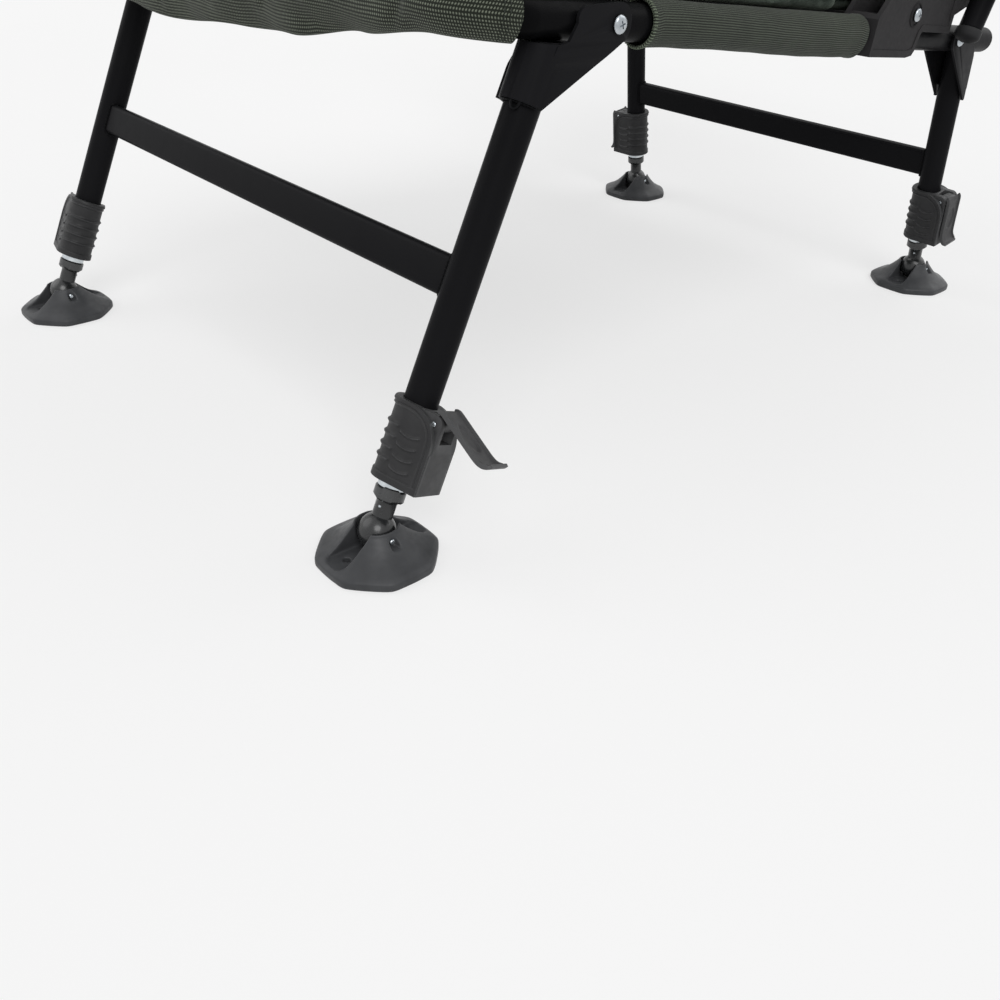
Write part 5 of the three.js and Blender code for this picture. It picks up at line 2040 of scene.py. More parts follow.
@dataclass
class Recliner:
    """The moulded housing on each side rail that holds the backrest's latch and pivot."""

    places: Places
    palette: Palette
    front: float = 422.0
    front_knee: float = 432.0
    front_top: float = 452.0
    rear: float = 565.0
    top: float = 58.0
    wall: float = 4.0
    knee_rise: float = 12.0
    notch_rise: float = 5.0
    lip: tuple[tuple[float, float], ...] = ((509, 5), (506.5, 2.5), (503.5, -9.5), (500, -13.6), (489, -15.3))
    ear: float = 15.0
    boss: float = 9.0
    gap: float = 11.3
    pivot_along: float = 584.0
    pivot_rise: float = 41.5
    bolt_along: float = 488.0
    bolt_rise: float = 17.4
    back_offset: float = 30.0
    back_radius: float = 10.0

    def build(self) -> None:
        """Makes both housings and their bolts."""
        grip = self.gap + self.wall + 0.3
        bolt = CrossBolt().build("recliner_fastener", grip, grip)
        for side in Side:
            housing = self.housing(side)
            name = f"recliner_housing_{side.label}"
            dress(housing, self.palette.housing, "seat", "housing_plastic", name)
            spot = shift(0, self.bolt_along - self.pivot_along, self.bolt_rise)
            place = self.place(side) @ spot @ side.outward
            copy = copy_at(bolt, f"recliner_screw_{side.label}", place)
            dress(copy, self.palette.zinc, "seat", "zinc_plated_steel", f"recliner_bolt_{side.label}")
        forget(bolt)

    def place(self, side: Side) -> Matrix:
        """A housing's frame: Y along the rail, origin on the rail's axis under the pivot."""
        return self.places.on_rail(side, self.pivot_along) @ self.places.rail_turn(side)

    def housing(self, side: Side) -> bpy.types.Object:
        """One housing: two cheeks astride the rail, bridged over it, with an ear for the pivot.

        Args:
            side: The housing's side.

        Returns:
            The housing.
        """
        place, sign = self.place(side), side.value
        outer, zero = self.gap + self.wall, self.pivot_along

        def part(name: str, outline: Outline, low: float, high: float) -> bpy.types.Object:
            """A body pulled across the rail, from an outline given along the rail and up."""
            low, high = sorted((sign * low, sign * high))
            return made(name, prism([(u - zero, v) for u, v in outline], low, high, Plane.YZ), place)

        side_view = [(self.front, -outer), (self.front, self.knee_rise)]
        side_view.append((self.front_knee, 2 * self.knee_rise))
        side_view += arc((self.front_top + 6, self.top - 8), 8, 150, 90, 5)
        side_view += arc((self.rear - 6, self.top - 6), 6, 90, 0, 5)
        side_view += [(self.rear, self.notch_rise), *self.lip]
        body = part("housing", side_view, -outer, outer)
        hollow = [(self.front - 9, outer), (self.rear + 9, outer)]
        hollow += [(self.rear + 9, self.top - self.wall), (self.front - 9, self.top - self.wall)]
        rail = swept([Y * (self.front - zero - 9), Y * (self.rear - zero + 9)], self.gap, Z, 64)
        window = [(u, v) for u, v in inset_outline(side_view, 5.5) if v > -11.0]
        tools = [part("hollow", hollow, -self.gap, self.gap), made("rail", rail, place)]
        tools.append(part("panel", window, outer - 0.7, outer + 4))
        combined(body, Joining.CUT, *tools)
        arm = [(self.rear - 8, self.notch_rise + self.knee_rise), (zero, self.pivot_rise - self.ear)]
        arm += arc((zero, self.pivot_rise), self.ear, -90, 90, 20) + [(self.rear - 8, self.top - 0.3)]
        ring = turned_tube(9.6, 1.6, outer - 0.8, outer + 0.1, 48)
        lie = Matrix.Rotation(sign * math.pi / 2, 4, "Y")
        reach = self.back_offset - self.back_radius - 0.3
        boss = swept([X * sign * (outer - 4), X * sign * reach], self.boss, Z, 48)
        bolt_spot = place @ shift(0, self.bolt_along - zero, self.bolt_rise)
        seat_pivot = self.places.on_rail(side, zero, self.pivot_rise)
        combined(body, Joining.FUSE, part("arm", arm, outer - self.wall, outer + 0.3))
        combined(body, Joining.FUSE, made("boss", boss, seat_pivot))
        hole = swept([X * -60, X * 60], 3.3, Z, 24)
        combined(body, Joining.CUT, made("hole", hole, bolt_spot), made("hole", hole, seat_pivot))
        rounded(body, 0.8, 3)
        return merged(body, rounded(made("ring", ring.moved(lie), bolt_spot), 0.2))


def inset_outline(outline: Outline, inset: float) -> Outline:
    """An outline drawn inside another one.

    Args:
        outline: The outer outline's corners, in order.
        inset: How far inside it the new one runs.

    Returns:
        The inner outline's corners.
    """
    count, result = len(outline), []
    area = sum(a[0] * b[1] - b[0] * a[1] for a, b in zip(outline, outline[1:] + outline[:1]))
    way = 1 if area > 0 else -1
    for i in range(count):
        before, here, after = (Vector(outline[(i + k) % count]) for k in (-1, 0, 1))
        first, second = (here - before).normalized(), (after - here).normalized()
        normals = [Vector((-d.y, d.x)) * way for d in (first, second)]
        middle = (normals[0] + normals[1]).normalized()
        spot = here + middle * (inset / max(0.5, middle.dot(normals[0])))
        result.append((spot.x, spot.y))
    return result


@dataclass
class BackFrame:
    """The backrest's bent tube, the caps on its lower ends and its pivot bolts."""

    places: Places
    palette: Palette
    radius: float = 10.0
    wall: float = 1.2
    pivot_along: float = 584.0
    offset: float = 30.0
    tail: float = 32.0
    bend_start: float = 12.0
    bend_end: float = 152.0
    height: float = 590.0
    corner: float = 70.0
    cap: float = 11.2
    cap_length: float = 16.0

    def upright_half(self, height: float) -> float:
        """How far an upright's axis is from the middle, at a height above the pivot.

        Args:
            height: The height.

        Returns:
            The distance.
        """
        bent = min(max(height, self.bend_start), self.bend_end) - self.bend_start
        base = self.places.rail_half(self.pivot_along) + self.offset
        return base + math.tan(math.radians(self.places.taper)) * bent

    def path(self) -> list[Vector]:
        """The tube's axis from the left upright's foot to the right one's.

        Returns:
            The axis's points.
        """
        wide, steps = self.upright_half(self.bend_end), 24
        half = []
        for i in range(steps + 1):
            turn = math.pi / 2 * i / steps
            x = wide - self.corner * (1 - math.sin(turn))
            half.append(Vector((x, 0, self.height - self.corner * (1 - math.cos(turn)))))
        for z in (self.bend_end + 6, self.bend_end - 6, self.bend_start + 6, self.bend_start - 6, -self.tail):
            half.append(Vector((self.upright_half(z), 0, z)))
        return mirrored(half)

    def build(self) -> None:
        """Makes the frame's pieces."""
        back = self.places.back()
        tube = made("back_frame_tube", swept_tube(self.path(), self.radius, self.wall, Y), back)
        dress(tube, self.palette.steel, "backrest", "powder_coated_steel", "back_frame")
        third, r = self.cap_length / 3, self.cap
        dome = [(r * math.cos(t), -third * math.sin(t)) for t in (1.35, 1.1, 0.85, 0.6, 0.35, 0.1)]
        inner = self.radius - self.wall - 0.6
        outline = [(0, -third), *dome, (r, third - 0.4), (r - 0.4, third), (inner, third)]
        outline += [(inner, self.cap_length), (0, self.cap_length)]
        cap = made("cap", lathe(outline))
        bolt = CrossBolt().build("pivot_fastener", self.offset + self.radius + 0.3, -10.7)
        for side in Side:
            foot = back @ shift(side.value * self.upright_half(0), 0, -self.tail - third - 0.6)
            plug = copy_at(cap, f"back_cap_{side.label}", foot)
            dress(plug, self.palette.cap, "backrest", "black_plastic", f"back_tube_cap_{side.label}")
            pivot = back @ shift(side.value * self.places.rail_half(self.pivot_along)) @ side.outward
            copy = copy_at(bolt, f"pivot_screw_{side.label}", pivot)
            dress(copy, self.palette.zinc, "backrest", "zinc_plated_steel", f"back_pivot_bolt_{side.label}")
        forget(cap, bolt)


# Woven cloth


def stitches(
    path: Sequence[Vector], face: Vector, pitch: float = 6.5, length: float = 4.4, radius: float = 0.6
) -> Form:
    """A row of stitches along a path.

    Args:
        path: The seam's points.
        face: The way the cloth faces, towards which the stitches bulge.
        pitch: From one stitch to the next.
        length: Each stitch's length.
        radius: The thread's radius.

    Returns:
        The stitches' form.
    """
    form, left = Form(), pitch / 2
    shares = (-0.5, -0.3, 0.0, 0.3, 0.5)
    for a, b in zip(path, path[1:]):
        span = (b - a).length
        while left <= span:
            ahead = (b - a) / span
            middle = a + ahead * left
            line = [middle + ahead * (length * t) + face * (0.45 - 1.8 * t * t) for t in shares]
            form.add(swept(line, lambda i: radius * (0.55, 0.95, 1.0, 0.95, 0.55)[i], face, 8))
            left += pitch
        left -= span
    return form


def between(pairs: Sequence[tuple[float, float]], value: float, smooth: bool = False) -> float:
    """The value that a table of pairs gives at a place, straight or smooth from one pair to the next.

    Args:
        pairs: Places and their values, in order.
        value: The place.
        smooth: Whether the value eases from pair to pair.

    Returns:
        The value there.
    """
    for (a, low), (b, high) in zip(pairs, pairs[1:]):
        if value <= b:
            share = ease(value, a, b) if smooth else max(0.0, (value - a) / (b - a))
            return low + (high - low) * share
    return pairs[-1][1]


@dataclass(frozen=True)
class Fold:
    """A crease or bulge in hanging cloth, as a line from one place to another."""

    start: tuple[float, float]
    end: tuple[float, float]
    height: float
    width: float = 6.0

    def rise(self, across: float, down: float) -> float:
        """How far the cloth stands out at a place.

        Args:
            across: The place along the rail.
            down: How far below the rail's axis it is.

        Returns:
            The distance.
        """
        a, b, p = Vector(self.start), Vector(self.end), Vector((across, down))
        share = min(1.0, max(0.0, (p - a).dot(b - a) / (b - a).length_squared))
        return self.height * math.exp(-(((p - a.lerp(b, share)).length / self.width) ** 2))


@dataclass
class SeatSling:
    """The woven cloth under the seat: a front sleeve that hangs in swags, side sleeves and a panel."""

    places: Places
    palette: Palette
    radius: float = 13.0
    cloth: float = 1.4
    straight: float = 205.5
    wrap: float = 72.0
    drop: float = 49.0
    pleat: float = 4.0
    pleats: int = 5
    sag: float = 14.0
    side_start: float = 134.0
    side_end: float = 416.0
    swags: tuple[tuple[float, float], ...] = (
        (0, 0.33), (0.095, 0.45), (0.145, 0.84), (0.223, 0.88), (0.292, 0.9),
        (0.5, 0.74), (0.638, 0.66), (0.777, 0.44), (0.915, 0.27), (1, 0.265),
    )
    folds: tuple[Fold, ...] = (
        Fold((-60, 18), (-10, 38), -2.2),
        Fold((40, 17), (150, 26), -2.6),
        Fold((100, 8), (185, 14), 2.4, 7),
        Fold((192, 0), (176, 22), -2.2, 4),
        Fold((-190, 10), (-110, 34), -2.2),
    )

    @property
    def reach(self) -> float:
        """How far the front cloth reaches along the rail from its middle."""
        return self.straight + self.places.corner_radius * math.radians(self.wrap)

    def build(self) -> None:
        """Makes the cloth's pieces and their stitches."""
        seat = self.places.seat()
        front = made("front_rail_cloth", grid(220, 64, self.front), seat, SOFT_ANGLE)
        thickened(front, self.cloth)
        dress(front, self.palette.front_cloth, "seat", "woven_polyester", "seat_fabric")
        for side in Side:
            skin = grid(72, 56, lambda u, v: self.sleeve(side, u, v))
            sleeve = made(f"rail_sleeve_{side.label}", skin, seat, SOFT_ANGLE)
            thickened(sleeve, self.cloth)
            dress(sleeve, self.palette.sleeve_cloth, "seat", "woven_polyester", "seat_fabric")
        panel = made("seat_panel", grid(64, 72, self.panel), seat, SOFT_ANGLE)
        thickened(panel, self.cloth)
        dress(panel, self.palette.sleeve_cloth, "seat", "woven_polyester", "seat_fabric")
        rows = made("front_seams", self.front_seams(), seat)
        dress(rows, self.palette.piping, "seat", "woven_polyester", "seat_fabric")
        rows = made("sleeve_overlock", self.overlock(), seat)
        dress(rows, self.palette.thread, "seat", "woven_polyester", "seat_fabric")

    def front_frame(self, s: float) -> tuple[Vector, Vector]:
        """The rail's axis at a length along it from the middle, and the way out from the chair there.

        Args:
            s: The length, below 0 to the left.

        Returns:
            The axis's point and the direction.
        """
        sign, past = (1 if s >= 0 else -1), abs(s) - self.straight
        if past <= 0:
            return Vector((s, 0, 0)), -Y
        turn = past / self.places.corner_radius
        spot = self.places.on_corner(turn)
        return Vector((sign * spot.x, spot.y, 0)), Vector((sign * math.sin(turn), -math.cos(turn), 0))

    def front(self, u: float, v: float) -> Vector:
        """A point of the front cloth, from the rail's top forward and round.

        Args:
            u: Its place along the rail, from 0 to 1.
            v: Its place round it, from 0 to 1.

        Returns:
            The point in the seat's frame.
        """
        s = (2 * u - 1) * self.reach
        axis, out = self.front_frame(s)
        turn = math.pi / 2 - 2 * math.pi * v
        ahead, rise = self.radius * math.cos(turn), self.radius * math.sin(turn)
        low = max(0.0, -math.sin(turn))
        hang = self.drop * between(self.swags, u, smooth=True)
        ahead = ahead * (1 - low / 4)
        ahead += self.pleat * math.sin(2 * math.pi * self.pleats * u) * math.sin(math.pi * u) * low
        rise -= (hang - self.radius) * low
        if v < 0.5:
            facing = math.sin(2 * math.pi * v) ** 0.5
            ahead += facing * sum(fold.rise(s, -rise) for fold in self.folds)
            ahead += facing * 1.1 * noise.noise(Vector((s * 0.035, rise * 0.09, 1.7)))
        hem = ease(abs(s), self.reach - 9.5, self.reach - 8.5)
        ahead += math.copysign(0.5 * hem, math.cos(turn))
        return axis + out * ahead + Z * rise

    def sleeve(self, side: Side, u: float, v: float) -> Vector:
        """A point of a side sleeve, from the rail's top outboard and round.

        Args:
            side: The sleeve's side.
            u: Its place round it, from 0 to 1.
            v: Its place along it, from 0 to 1.

        Returns:
            The point in the seat's frame.
        """
        along = self.side_start + (self.side_end - self.side_start) * v
        turn = math.pi / 2 - 2 * math.pi * u
        wide, rise = math.cos(turn), math.sin(turn)
        size = self.radius - 0.2 + 0.5 * noise.noise(Vector((along * 0.02, turn, side.value)))
        size += 0.45 * (1 - ease(min(v, 1 - v) * (self.side_end - self.side_start), 8.5, 9.5))
        slack = 4.2 * ease(v, 0.1, 0.85) + 0.7 * noise.noise(Vector((along * 0.03, 0.3, side.value)))
        deep = size if rise > 0 else size + slack
        out = side.value * (self.places.rail_half(along) + size * wide)
        return Vector((out, along, deep * rise))

    def panel(self, u: float, v: float) -> Vector:
        """A point of the panel between the rails, sagging towards its middle.

        Args:
            u: Its place across, from 0 to 1.
            v: Its place along, from 0 to 1.

        Returns:
            The point in the seat's frame.
        """
        rail, inner = self.places.rail_half, self.housing_inner
        first, clear = self.side_start, rail(self.places.front_bolt_along) - 20.4
        stations = [(8, self.straight), (38, clear), (first, clear), (first + 4, rail(first) - 5.5)]
        stations += [(412, rail(412) - 5.5), (420, inner(422) - 2), (548, inner(548) - 2)]
        along = 8 + 540 * v
        across = 2 * u - 1
        fall = self.sag * (1 - across**2) * math.sin(math.pi * (0.1 + 0.7 * v))
        return Vector((across * between(stations, along), along, -fall))

    def housing_inner(self, along: float) -> float:
        """How far a recliner housing's inner face is from the middle."""
        return self.places.rail_half(along) - 15.3 / math.cos(math.radians(self.places.taper))

    def front_seams(self) -> Form:
        """The stitches round the ends of the front cloth.

        Returns:
            The stitches' form.
        """
        form = Form()
        for end in (-1, 1):
            for inset in (5.5, 8.0):
                u = (1 + end * (1 - inset / self.reach)) / 2
                loop = [self.front(u, 0.03 + 0.47 * i / 60) for i in range(61)]
                _, out = self.front_frame((2 * u - 1) * self.reach)
                form.add(stitches([p + out * 0.8 for p in loop], out, 4.2, 2.9, 0.4))
        return form

    def overlock(self) -> Form:
        """The short threads that bind the cut front ends of the side sleeves.

        Returns:
            The threads' form.
        """
        form, reach = Form(), 2.8 / (self.side_end - self.side_start)
        for side in Side:
            for i in range(47):
                u = 0.02 + 0.96 * i / 46
                turn = math.pi / 2 - 2 * math.pi * u
                out = Vector((side.value * math.cos(turn), 0, math.sin(turn)))
                steps = ((0.0, -0.1), (0.0, 0.9), (0.5, 1.0), (1.0, 0.8), (1.1, 0.2))
                line = [self.sleeve(side, u, reach * far) + out * rise for far, rise in steps]
                form.add(swept(line, 0.38, out, 6))
        return form


@dataclass
class BackSling:
    """The woven cloth of the backrest: a sleeve on each upright and the panel between them."""

    places: Places
    palette: Palette
    frame: BackFrame
    radius: float = 12.0
    cloth: float = 1.4
    low: float = 84.0
    step: float = 152.0
    sleeve_low: float = 160.0
    sleeve_top: float = 520.0
    edge: float = 4.0
    sag: float = 5.0

    def build(self) -> None:
        """Makes the sleeves, the panel and their stitches."""
        back = self.places.back()
        wide = self.frame.upright_half(self.step)
        for side in Side:
            skin = grid(72, 64, lambda u, v: self.sleeve(side, u, v))
            sleeve = made(f"upright_sleeve_{side.label}", skin, back, SOFT_ANGLE)
            thickened(sleeve, self.cloth)
            dress(sleeve, self.palette.sleeve_cloth, "backrest", "woven_polyester", "back_fabric")
        panel = made("back_panel", grid(72, 72, self.panel), back, SOFT_ANGLE)
        thickened(panel, self.cloth)
        dress(panel, self.palette.sleeve_cloth, "backrest", "woven_polyester", "back_fabric")
        form, top = Form(), self.sleeve_top - self.edge
        for side in Side:
            for inset in (15.5, 19.0):
                x = side.value * (wide - inset)
                u = (1 + x / (wide - 5)) / 2
                heights = (self.sleeve_low + 6, 338, self.sleeve_top - 10)
                form.add(stitches([self.panel(u, self.share(z)) + Y * 0.9 for z in heights], Y))
            for v in (0.014, 0.986):
                loop = [self.sleeve(side, 0.02 + 0.46 * i / 60, v) for i in range(61)]
                form.add(stitches([p + X * side.value * 0.8 for p in loop], X * side.value, 4.2, 2.9, 0.4))
        for z in (self.low + 6, self.low + 10, top - 6, top - 10):
            line = [self.panel(0.03 + 0.94 * i / 40, self.share(z)) + Y * 0.9 for i in range(41)]
            form.add(stitches(line, Y))
        rows = made("back_seams", form, back)
        dress(rows, self.palette.thread, "backrest", "woven_polyester", "back_fabric")

    def share(self, height: float) -> float:
        """A height above the pivot, as a share of the panel's height."""
        return (height - self.low) / (self.sleeve_top - self.edge - self.low)

    def sleeve(self, side: Side, u: float, v: float) -> Vector:
        """A point of an upright's sleeve, from its rear outboard and round.

        Args:
            side: The sleeve's side.
            u: Its place round it, from 0 to 1.
            v: Its place along it, from 0 to 1.

        Returns:
            The point in the backrest's frame.
        """
        height = self.sleeve_low + (self.sleeve_top - self.sleeve_low) * v
        turn = math.pi / 2 - 2 * math.pi * u
        size = self.radius - 0.2 + 0.4 * noise.noise(Vector((height * 0.02, turn, side.value + 5)))
        size += 0.45 * (1 - ease(min(v, 1 - v) * (self.sleeve_top - self.sleeve_low), 8.5, 9.5))
        middle = self.frame.upright_half(self.step)
        return Vector((side.value * (middle + size * math.cos(turn)), size * math.sin(turn), height))

    def panel(self, u: float, v: float) -> Vector:
        """A point of the panel, which gives a little towards the rear in its middle.

        Args:
            u: Its place across, from 0 to 1.
            v: Its place along, from 0 to 1.

        Returns:
            The point in the backrest's frame.
        """
        narrow = self.places.rail_half(565) - 15.3 / math.cos(math.radians(self.places.taper)) - 2
        wide = self.frame.upright_half(self.step) - 5
        height = self.low + (self.sleeve_top - self.edge - self.low) * v
        widths = [(self.low, narrow), (self.step, narrow), (self.sleeve_low, wide), (600, wide)]
        half = between(widths, height)
        across = 2 * u - 1
        return Vector((across * half, self.sag * (1 - across**2) * math.sin(math.pi * v), height))


# Cushions


@dataclass
class Cushion:
    """A padded cushion with sewn channels, swelled by a cloth simulation, piped and stitched.

    Its own frame has X across, Y along and Z out of the face that the sitter feels.
    """

    palette: Palette
    name: str
    node: str
    body: str
    place: Matrix
    half_at: Callable[[float], float]
    start: float
    end: float
    base: float
    crown: float
    channels: int
    seed: float
    edge: float = 22.0
    corner: float = 60.0
    draw: float = 9.0
    corner_draw: float = 7.5
    puff: float = 0.72
    inset: float = 4.0
    voxel: float = 5.5
    groove: float = 3.4
    cap: float = 24.0
    keep: float = 0.3
    piping: float = 2.5
    fill: float = 0.75

    @property
    def bands(self) -> int:
        """How many rolls the channels part the cushion into."""
        return self.channels + 1

    def full(self, near: float, corner: float) -> float:
        """How full the section is at a distance from its edge."""
        share = min(1.0, max(0.0, near / corner))
        return math.sqrt(max(0.0, 1 - (1 - share) ** 2))

    def point(self, u: float, v: float, top: bool, puff: float, inset: float) -> Vector:
        """A point of the cushion's skin.

        Args:
            u: Its place across, from -1 to 1.
            v: Its place along, from 0 to 1.
            top: Whether it is on the sitter's side.
            puff: The share of the full crown.
            inset: How far the outline is drawn in.

        Returns:
            The point in the cushion's frame.
        """
        length = self.end - self.start - 2 * inset
        along = self.start + inset + length * v
        half = self.half_at(along) - inset
        side_draw = self.draw * math.sin(math.pi * v) ** 2 * abs(u) ** 4 * (1 if u > 0 else -1)
        end_draw = self.draw * (1 - u * u) * (2 * v - 1) ** 3
        corner_draw = self.corner_draw * abs(2 * v - 1) ** 8 * abs(u) ** 8 * (1 if u > 0 else -1)
        corner = self.corner if top else 5.0
        full = self.full((1 - abs(u)) * half, corner) * self.full(min(v, 1 - v) * length, corner)
        seam = math.sqrt(abs(math.sin(math.pi * self.bands * v)))
        swell = (self.edge / 2 + self.crown * puff) * full - 5 * full * (1 - seam)
        rise = self.base + self.edge / 2 + (swell if top else -self.edge / 2 * full)
        return Vector((u * half - side_draw - corner_draw, along - end_draw, rise))

    def seam_at(self, number: int, x: float) -> float:
        """Where a channel's seam runs along the cushion, at a place across it.

        Args:
            number: The channel's number, from 1.
            x: The place across.

        Returns:
            The place along.
        """
        v = number / self.bands
        along = self.start + (self.end - self.start) * v
        u = max(-1.0, min(1.0, x / self.half_at(along)))
        return along - self.draw * (1 - u * u) * (2 * v - 1) ** 3

    def shell(self, puff: float, inset: float) -> bpy.types.Object:
        """The closed skin before it swells, in even cells.

        Args:
            puff: The share of the full crown.
            inset: How far the outline is drawn in.

        Returns:
            The skin.
        """
        columns, rows = 90, 110
        loops = []
        for i in range(rows + 1):
            v = (1 - math.cos(math.pi * i / rows)) / 2
            spread = [math.sin(math.pi * (k / columns - 0.5)) for k in range(columns + 1)]
            top = [self.point(u, v, True, puff, inset) for u in spread]
            under = [self.point(u, v, False, puff, inset) for u in reversed(spread[1:-1])]
            loops.append(top + under)
        shell = made(self.name, rings(loops, closed=True, capped=False))
        remesh = shell.modifiers.new("cells", "REMESH")
        remesh.mode = "VOXEL"
        remesh.voxel_size = self.voxel * MM
        return frozen(shell, 180.0)

    def swollen(self) -> bpy.types.Object:
        """The skin after the padding has swelled it, held along its channels and underside.

        Returns:
            The skin.
        """
        shell = self.shell(self.puff, self.inset)
        held = shell.vertex_groups.new(name="held")
        rest = [v.co.copy() for v in shell.data.vertices]
        for i, co in enumerate(rest):
            x, along, rise = co / MM
            sewn = min(abs(along - self.seam_at(k, x)) for k in range(1, self.bands)) < 0.55 * self.voxel
            if rise < self.base + 3 or (sewn and rise > self.base + self.edge * 0.6):
                held.add([i], 1.0, "REPLACE")
        cloth = shell.modifiers.new("padding", "CLOTH")
        settings = cloth.settings
        settings.quality = 5
        settings.mass = 0.25
        settings.use_pressure = True
        settings.uniform_pressure_force = 4.0
        settings.effector_weights.gravity = 0.0
        settings.tension_stiffness = settings.compression_stiffness = 12.0
        settings.shear_stiffness = 4.0
        settings.bending_stiffness = 0.4
        settings.shrink_min = -0.06
        settings.vertex_group_mass = held.name
        cloth.collision_settings.use_collision = False
        for moment in range(1, 21):
            bpy.context.scene.frame_set(moment)
        graph = bpy.context.evaluated_depsgraph_get()
        swelled = shell.evaluated_get(graph).to_mesh()
        moved = [v.co.copy() for v in swelled.vertices]
        shell.evaluated_get(graph).to_mesh_clear()
        shell.modifiers.clear()
        bpy.context.scene.frame_set(1)
        for vertex, before, after in zip(shell.data.vertices, rest, moved):
            step = after - before
            step *= min(1.0, self.cap * MM / max(step.length, 1e-9))
            vertex.co = self.contained((before + step) / MM) * MM
        return shell

    def contained(self, point: Vector) -> Vector:
        """The point, kept within the room that the solid gives the cushion.

        Args:
            point: The point.

        Returns:
            The nearest point in that room.
        """
        half = self.half_at(min(max(point.y, self.start), self.end)) + 2.0
        return Vector((
            max(-half, min(half, point.x)),
            max(self.start - 6, min(self.end + 6, point.y)),
            max(self.base, min(self.base + self.edge + self.crown + 6, point.z)),
        ))

    def build(self) -> None:
        """Makes the cushion, its stitches and its piping."""
        pad = self.swollen()
        smooth = pad.modifiers.new("smooth", "SUBSURF")
        smooth.levels = smooth.render_levels = 1
        frozen(pad, 180.0)
        self.crease(pad)
        skin = BVHTree.FromObject(pad, bpy.context.evaluated_depsgraph_get())
        rows = made(f"{self.name}_stitches", self.channel_stitches(skin))
        cord = made(f"{self.name}_piping", swept(self.edge_path(skin), self.piping, Z, 12, closed=True))
        place = Matrix.Translation(self.place.translation * MM) @ self.place.to_3x3().to_4x4()
        finishes = ((pad, self.palette.padding), (rows, self.palette.thread), (cord, self.palette.piping))
        for piece, finish in finishes:
            piece.data.transform(place)
            dress(piece, finish, self.body, "padded_polyester", self.node)
            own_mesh(piece)

    def crease(self, pad: bpy.types.Object) -> None:
        """Presses the sewn channels into the face, and lets the nap and filling lie unevenly.

        Args:
            pad: The cushion.
        """
        for vertex in pad.data.vertices:
            x, along, rise = vertex.co / MM
            if rise < self.base + self.edge * 0.6:
                continue
            near = min(abs(along - self.seam_at(k, x)) for k in range(1, self.bands))
            pucker = 1 + 0.35 * noise.noise(Vector((x * 0.11, along * 0.05, self.seed)))
            vertex.co.z -= self.groove * pucker * math.exp(-((near / 4.2) ** 2)) * MM
            across = Vector((x * 0.045, along * 0.012, self.seed + 4))
            vertex.co.z += 1.3 * noise.noise(across) * math.exp(-((near / 16) ** 2)) * MM

    def channel_stitches(self, skin: BVHTree) -> Form:
        """The stitches that lie in the channels.

        Args:
            skin: The cushion's surface, which rays are cast at.

        Returns:
            The stitches' form.
        """
        form = Form()
        for number in range(1, self.bands):
            path = []
            for i in range(121):
                along = self.seam_at(number, 0)
                x = (self.half_at(along) - 12) * (2 * i / 120 - 1)
                spot = Vector((x, self.seam_at(number, x), self.base + 200)) * MM
                hit = skin.ray_cast(spot, -Z)[0]
                if hit is not None:
                    path.append(hit / MM)
            form.add(stitches(path, Z, 6.5, 4.5, 0.65))
        return form

    def edge_path(self, skin: BVHTree) -> list[Vector]:
        """The line round the cushion's edge where its faces are joined.

        Args:
            skin: The cushion's surface, which rays are cast at.

        Returns:
            The closed line's points.
        """
        steps = 110
        shares = [i / steps for i in range(steps)]
        sides = [(1.0, t) for t in shares] + [(1 - 2 * t, 1.0) for t in shares]
        sides += [(-1.0, 1 - t) for t in shares] + [(2 * t - 1, 0.0) for t in shares]
        ring = [self.point(u, v, True, 1.0, 0.0) for u, v in sides]
        middle = Vector((0, (self.start + self.end) / 2, ring[0].z))
        path = []
        for i, spot in enumerate(ring):
            ahead = ring[(i + 2) % len(ring)] - ring[i - 2]
            out = Vector((ahead.y, -ahead.x, 0)).normalized()
            if out.dot(spot - middle) < 0:
                out = -out
            hit = skin.ray_cast((spot + out * 40) * MM, -out, 0.09)[0]
            path.append(hit / MM if hit is not None else spot)
        for _ in range(6):
            path = [(path[i - 1] + path[i] * 2 + path[(i + 1) % len(path)]) / 4 for i in range(len(path))]
        return path


# Studio


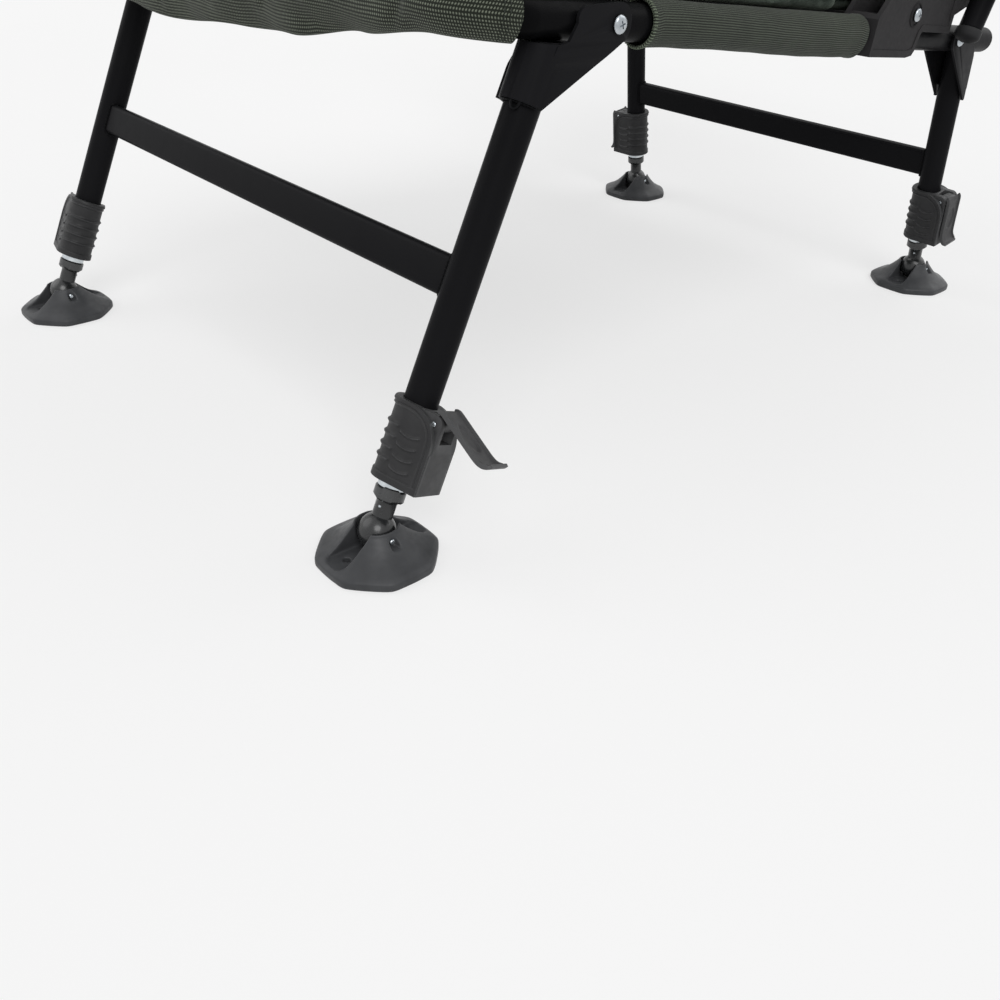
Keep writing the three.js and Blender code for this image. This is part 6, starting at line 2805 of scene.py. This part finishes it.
@dataclass
class Studio:
    """The camera, the pale floor and the soft light."""

    lens: float = 36.08
    position: tuple[float, float, float] = (665.19, -726.95, 384.94)
    yaw: float = 47.006
    pitch: float = -33.236
    roll: float = 2.633
    floor_radius_m: float = 14.0
    floor_cloud: float = 900.0
    floor_glow: float = 0.62
    ambient: float = 0.33

    def build(self) -> None:
        """Makes the camera, the floor, the lamps and the world."""
        self.camera()
        self.floor()
        self.world()
        self.lamp("key_light", (1.7, -0.9, 2.1), 36.0, 1.35)
        self.lamp("side_light", (-1.8, -1.4, 1.9), 50.0, 0.65)
        self.lamp("rear_light", (0.3, 2.2, 1.9), 50.0, 0.55)
        bpy.context.scene.view_settings.view_transform = "Standard"

    def camera(self) -> None:
        """Puts the camera where the photograph was taken from."""
        yaw, pitch, roll = (math.radians(a) for a in (self.yaw, self.pitch, self.roll))
        ahead = Vector((-math.sin(yaw) * math.cos(pitch), math.cos(yaw) * math.cos(pitch), math.sin(pitch)))
        right = Vector((math.cos(yaw), math.sin(yaw), 0))
        up = right.cross(ahead)
        right, up = math.cos(roll) * right + math.sin(roll) * up, math.cos(roll) * up - math.sin(roll) * right
        data = bpy.data.cameras.new("camera")
        data.lens, data.sensor_width, data.clip_start, data.clip_end = self.lens, 36.0, 0.02, 100.0
        camera = bpy.data.objects.new("camera", data)
        camera.matrix_world = basis(right, up, -ahead, Vector(self.position) * MM)
        bpy.context.scene.collection.objects.link(camera)
        bpy.context.scene.camera = camera

    def lamp(self, name: str, spot: tuple[float, float, float], width: float, power: float) -> None:
        """Lights the room from far off through a wide soft screen, so that the floor is even.

        Args:
            name: The lamp's name.
            spot: The direction it stands in, from the chair.
            width: The angle the screen takes up, in degrees.
            power: Its power in watts on a square metre.
        """
        data = bpy.data.lights.new(name, "SUN")
        data.angle, data.energy = math.radians(width), power
        lamp = bpy.data.objects.new(name, data)
        lamp.location = spot
        lamp.rotation_euler = Vector(spot).to_track_quat("Z", "Y").to_euler()
        bpy.context.scene.collection.objects.link(lamp)

    def seen(self, material: bpy.types.Material | bpy.types.World) -> bpy.types.NodeSocket:
        """1 for what the camera, a reflection or glass sees, 0 for light that falls on things.

        Args:
            material: The material or world that asks.

        Returns:
            The answer's output.
        """
        camera, gloss, glass = (
            node(material, "LightPath", out=f"Is {ray} Ray") for ray in ("Camera", "Glossy", "Transmission")
        )
        direct = node(material, "Math", (camera, gloss), operation="MAXIMUM")
        return node(material, "Math", (direct, glass), operation="MAXIMUM")

    def floor(self) -> None:
        """Lays a pale floor, which keeps the chair's shadow."""
        far = self.floor_radius_m / MM
        floor = made("studio_floor", lathe([(0.001, -4), (far, -4), (far, 0), (0.001, 0)], 96))
        vinyl = blank("matt_white_vinyl")
        place = node(vinyl, "TexCoord", out="Object")
        scale = per_metre(self.floor_cloud)
        cloud = node(vinyl, "TexNoise", {"Vector": place, "Scale": scale, "Detail": 2.0})
        haze = node(vinyl, "MapRange", (cloud, *NOISE, 0.0, 1.0))
        tones = {0: haze, 6: linear("#f1f1f1"), 7: linear("#f4f4f4")}
        colour = node(vinyl, "Mix", tones, 2, data_type="RGBA")
        surfaced(vinyl, {"Base Color": colour, "Roughness": 0.9, "Specular IOR Level": 0.1})
        nodes = vinyl.node_tree.nodes
        glow = node(vinyl, "Emission", ((1, 1, 1, 1), 1.0))
        share = node(vinyl, "Math", (self.seen(vinyl), self.floor_glow), operation="MULTIPLY")
        mixed = node(vinyl, "MixShader", (share, nodes["Principled BSDF"].outputs[0], glow))
        wire(vinyl, nodes["Material Output"], {"Surface": mixed})
        floor.data.materials.append(vinyl)

    def world(self) -> None:
        """Lights the room evenly, and shows it white to the camera."""
        world = bpy.data.worlds.new("studio")
        world.use_nodes = True
        bpy.context.scene.world = world
        nodes = world.node_tree.nodes
        dim = nodes["Background"]
        wire(world, dim, ((1, 1, 1, 1), self.ambient))
        white = node(world, "Background", ((1, 1, 1, 1), 1.0))
        mixed = node(world, "MixShader", (self.seen(world), dim.outputs[0], white))
        wire(world, nodes["World Output"], {"Surface": mixed})


def main() -> None:
    """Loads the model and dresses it."""
    logging.basicConfig(level=logging.INFO, format="%(name)s: %(message)s")
    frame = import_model()
    places, palette = Places.of(frame["joints"]), Palette()
    Studio().build()
    SeatFrame(places, palette).build()
    LegFrame(places, palette, End.FRONT, bar_rise=147.5, lean=25.1).build()
    LegFrame(places, palette, End.REAR, bar_rise=110.3, lean=-8.5).build()
    SlidingLegs(places, palette).build()
    LeverClamp(places, palette).build()
    MudFoot(places, palette).build()
    Recliner(places, palette).build()
    uprights = BackFrame(places, palette)
    uprights.build()
    seat_sling = SeatSling(places, palette)
    seat_sling.build()
    BackSling(places, palette, uprights).build()

    def seat_half(along: float) -> float:
        """The seat cushion's half width: over the rails, and between the housings at the rear."""
        wide, narrow = places.rail_half(along) + 8, seat_sling.housing_inner(along) - 3
        return wide + (narrow - wide) * ease(along, 372, 422)

    Cushion(
        palette, "seat_padding", "seat_cushion", "seat", places.seat(), seat_half,
        start=-10, end=545, base=13.3, crown=24, channels=4, seed=2.0,
    ).build()
    upright = places.back() @ Matrix.Rotation(math.pi / 2, 4, "X")
    Cushion(
        palette, "back_padding", "back_cushion", "backrest", upright,
        lambda height: uprights.upright_half(height) + 8,
        start=78, end=600, base=12.3, crown=22, channels=5, seed=7.0,
    ).build()


if __name__ == "__main__":
    main()
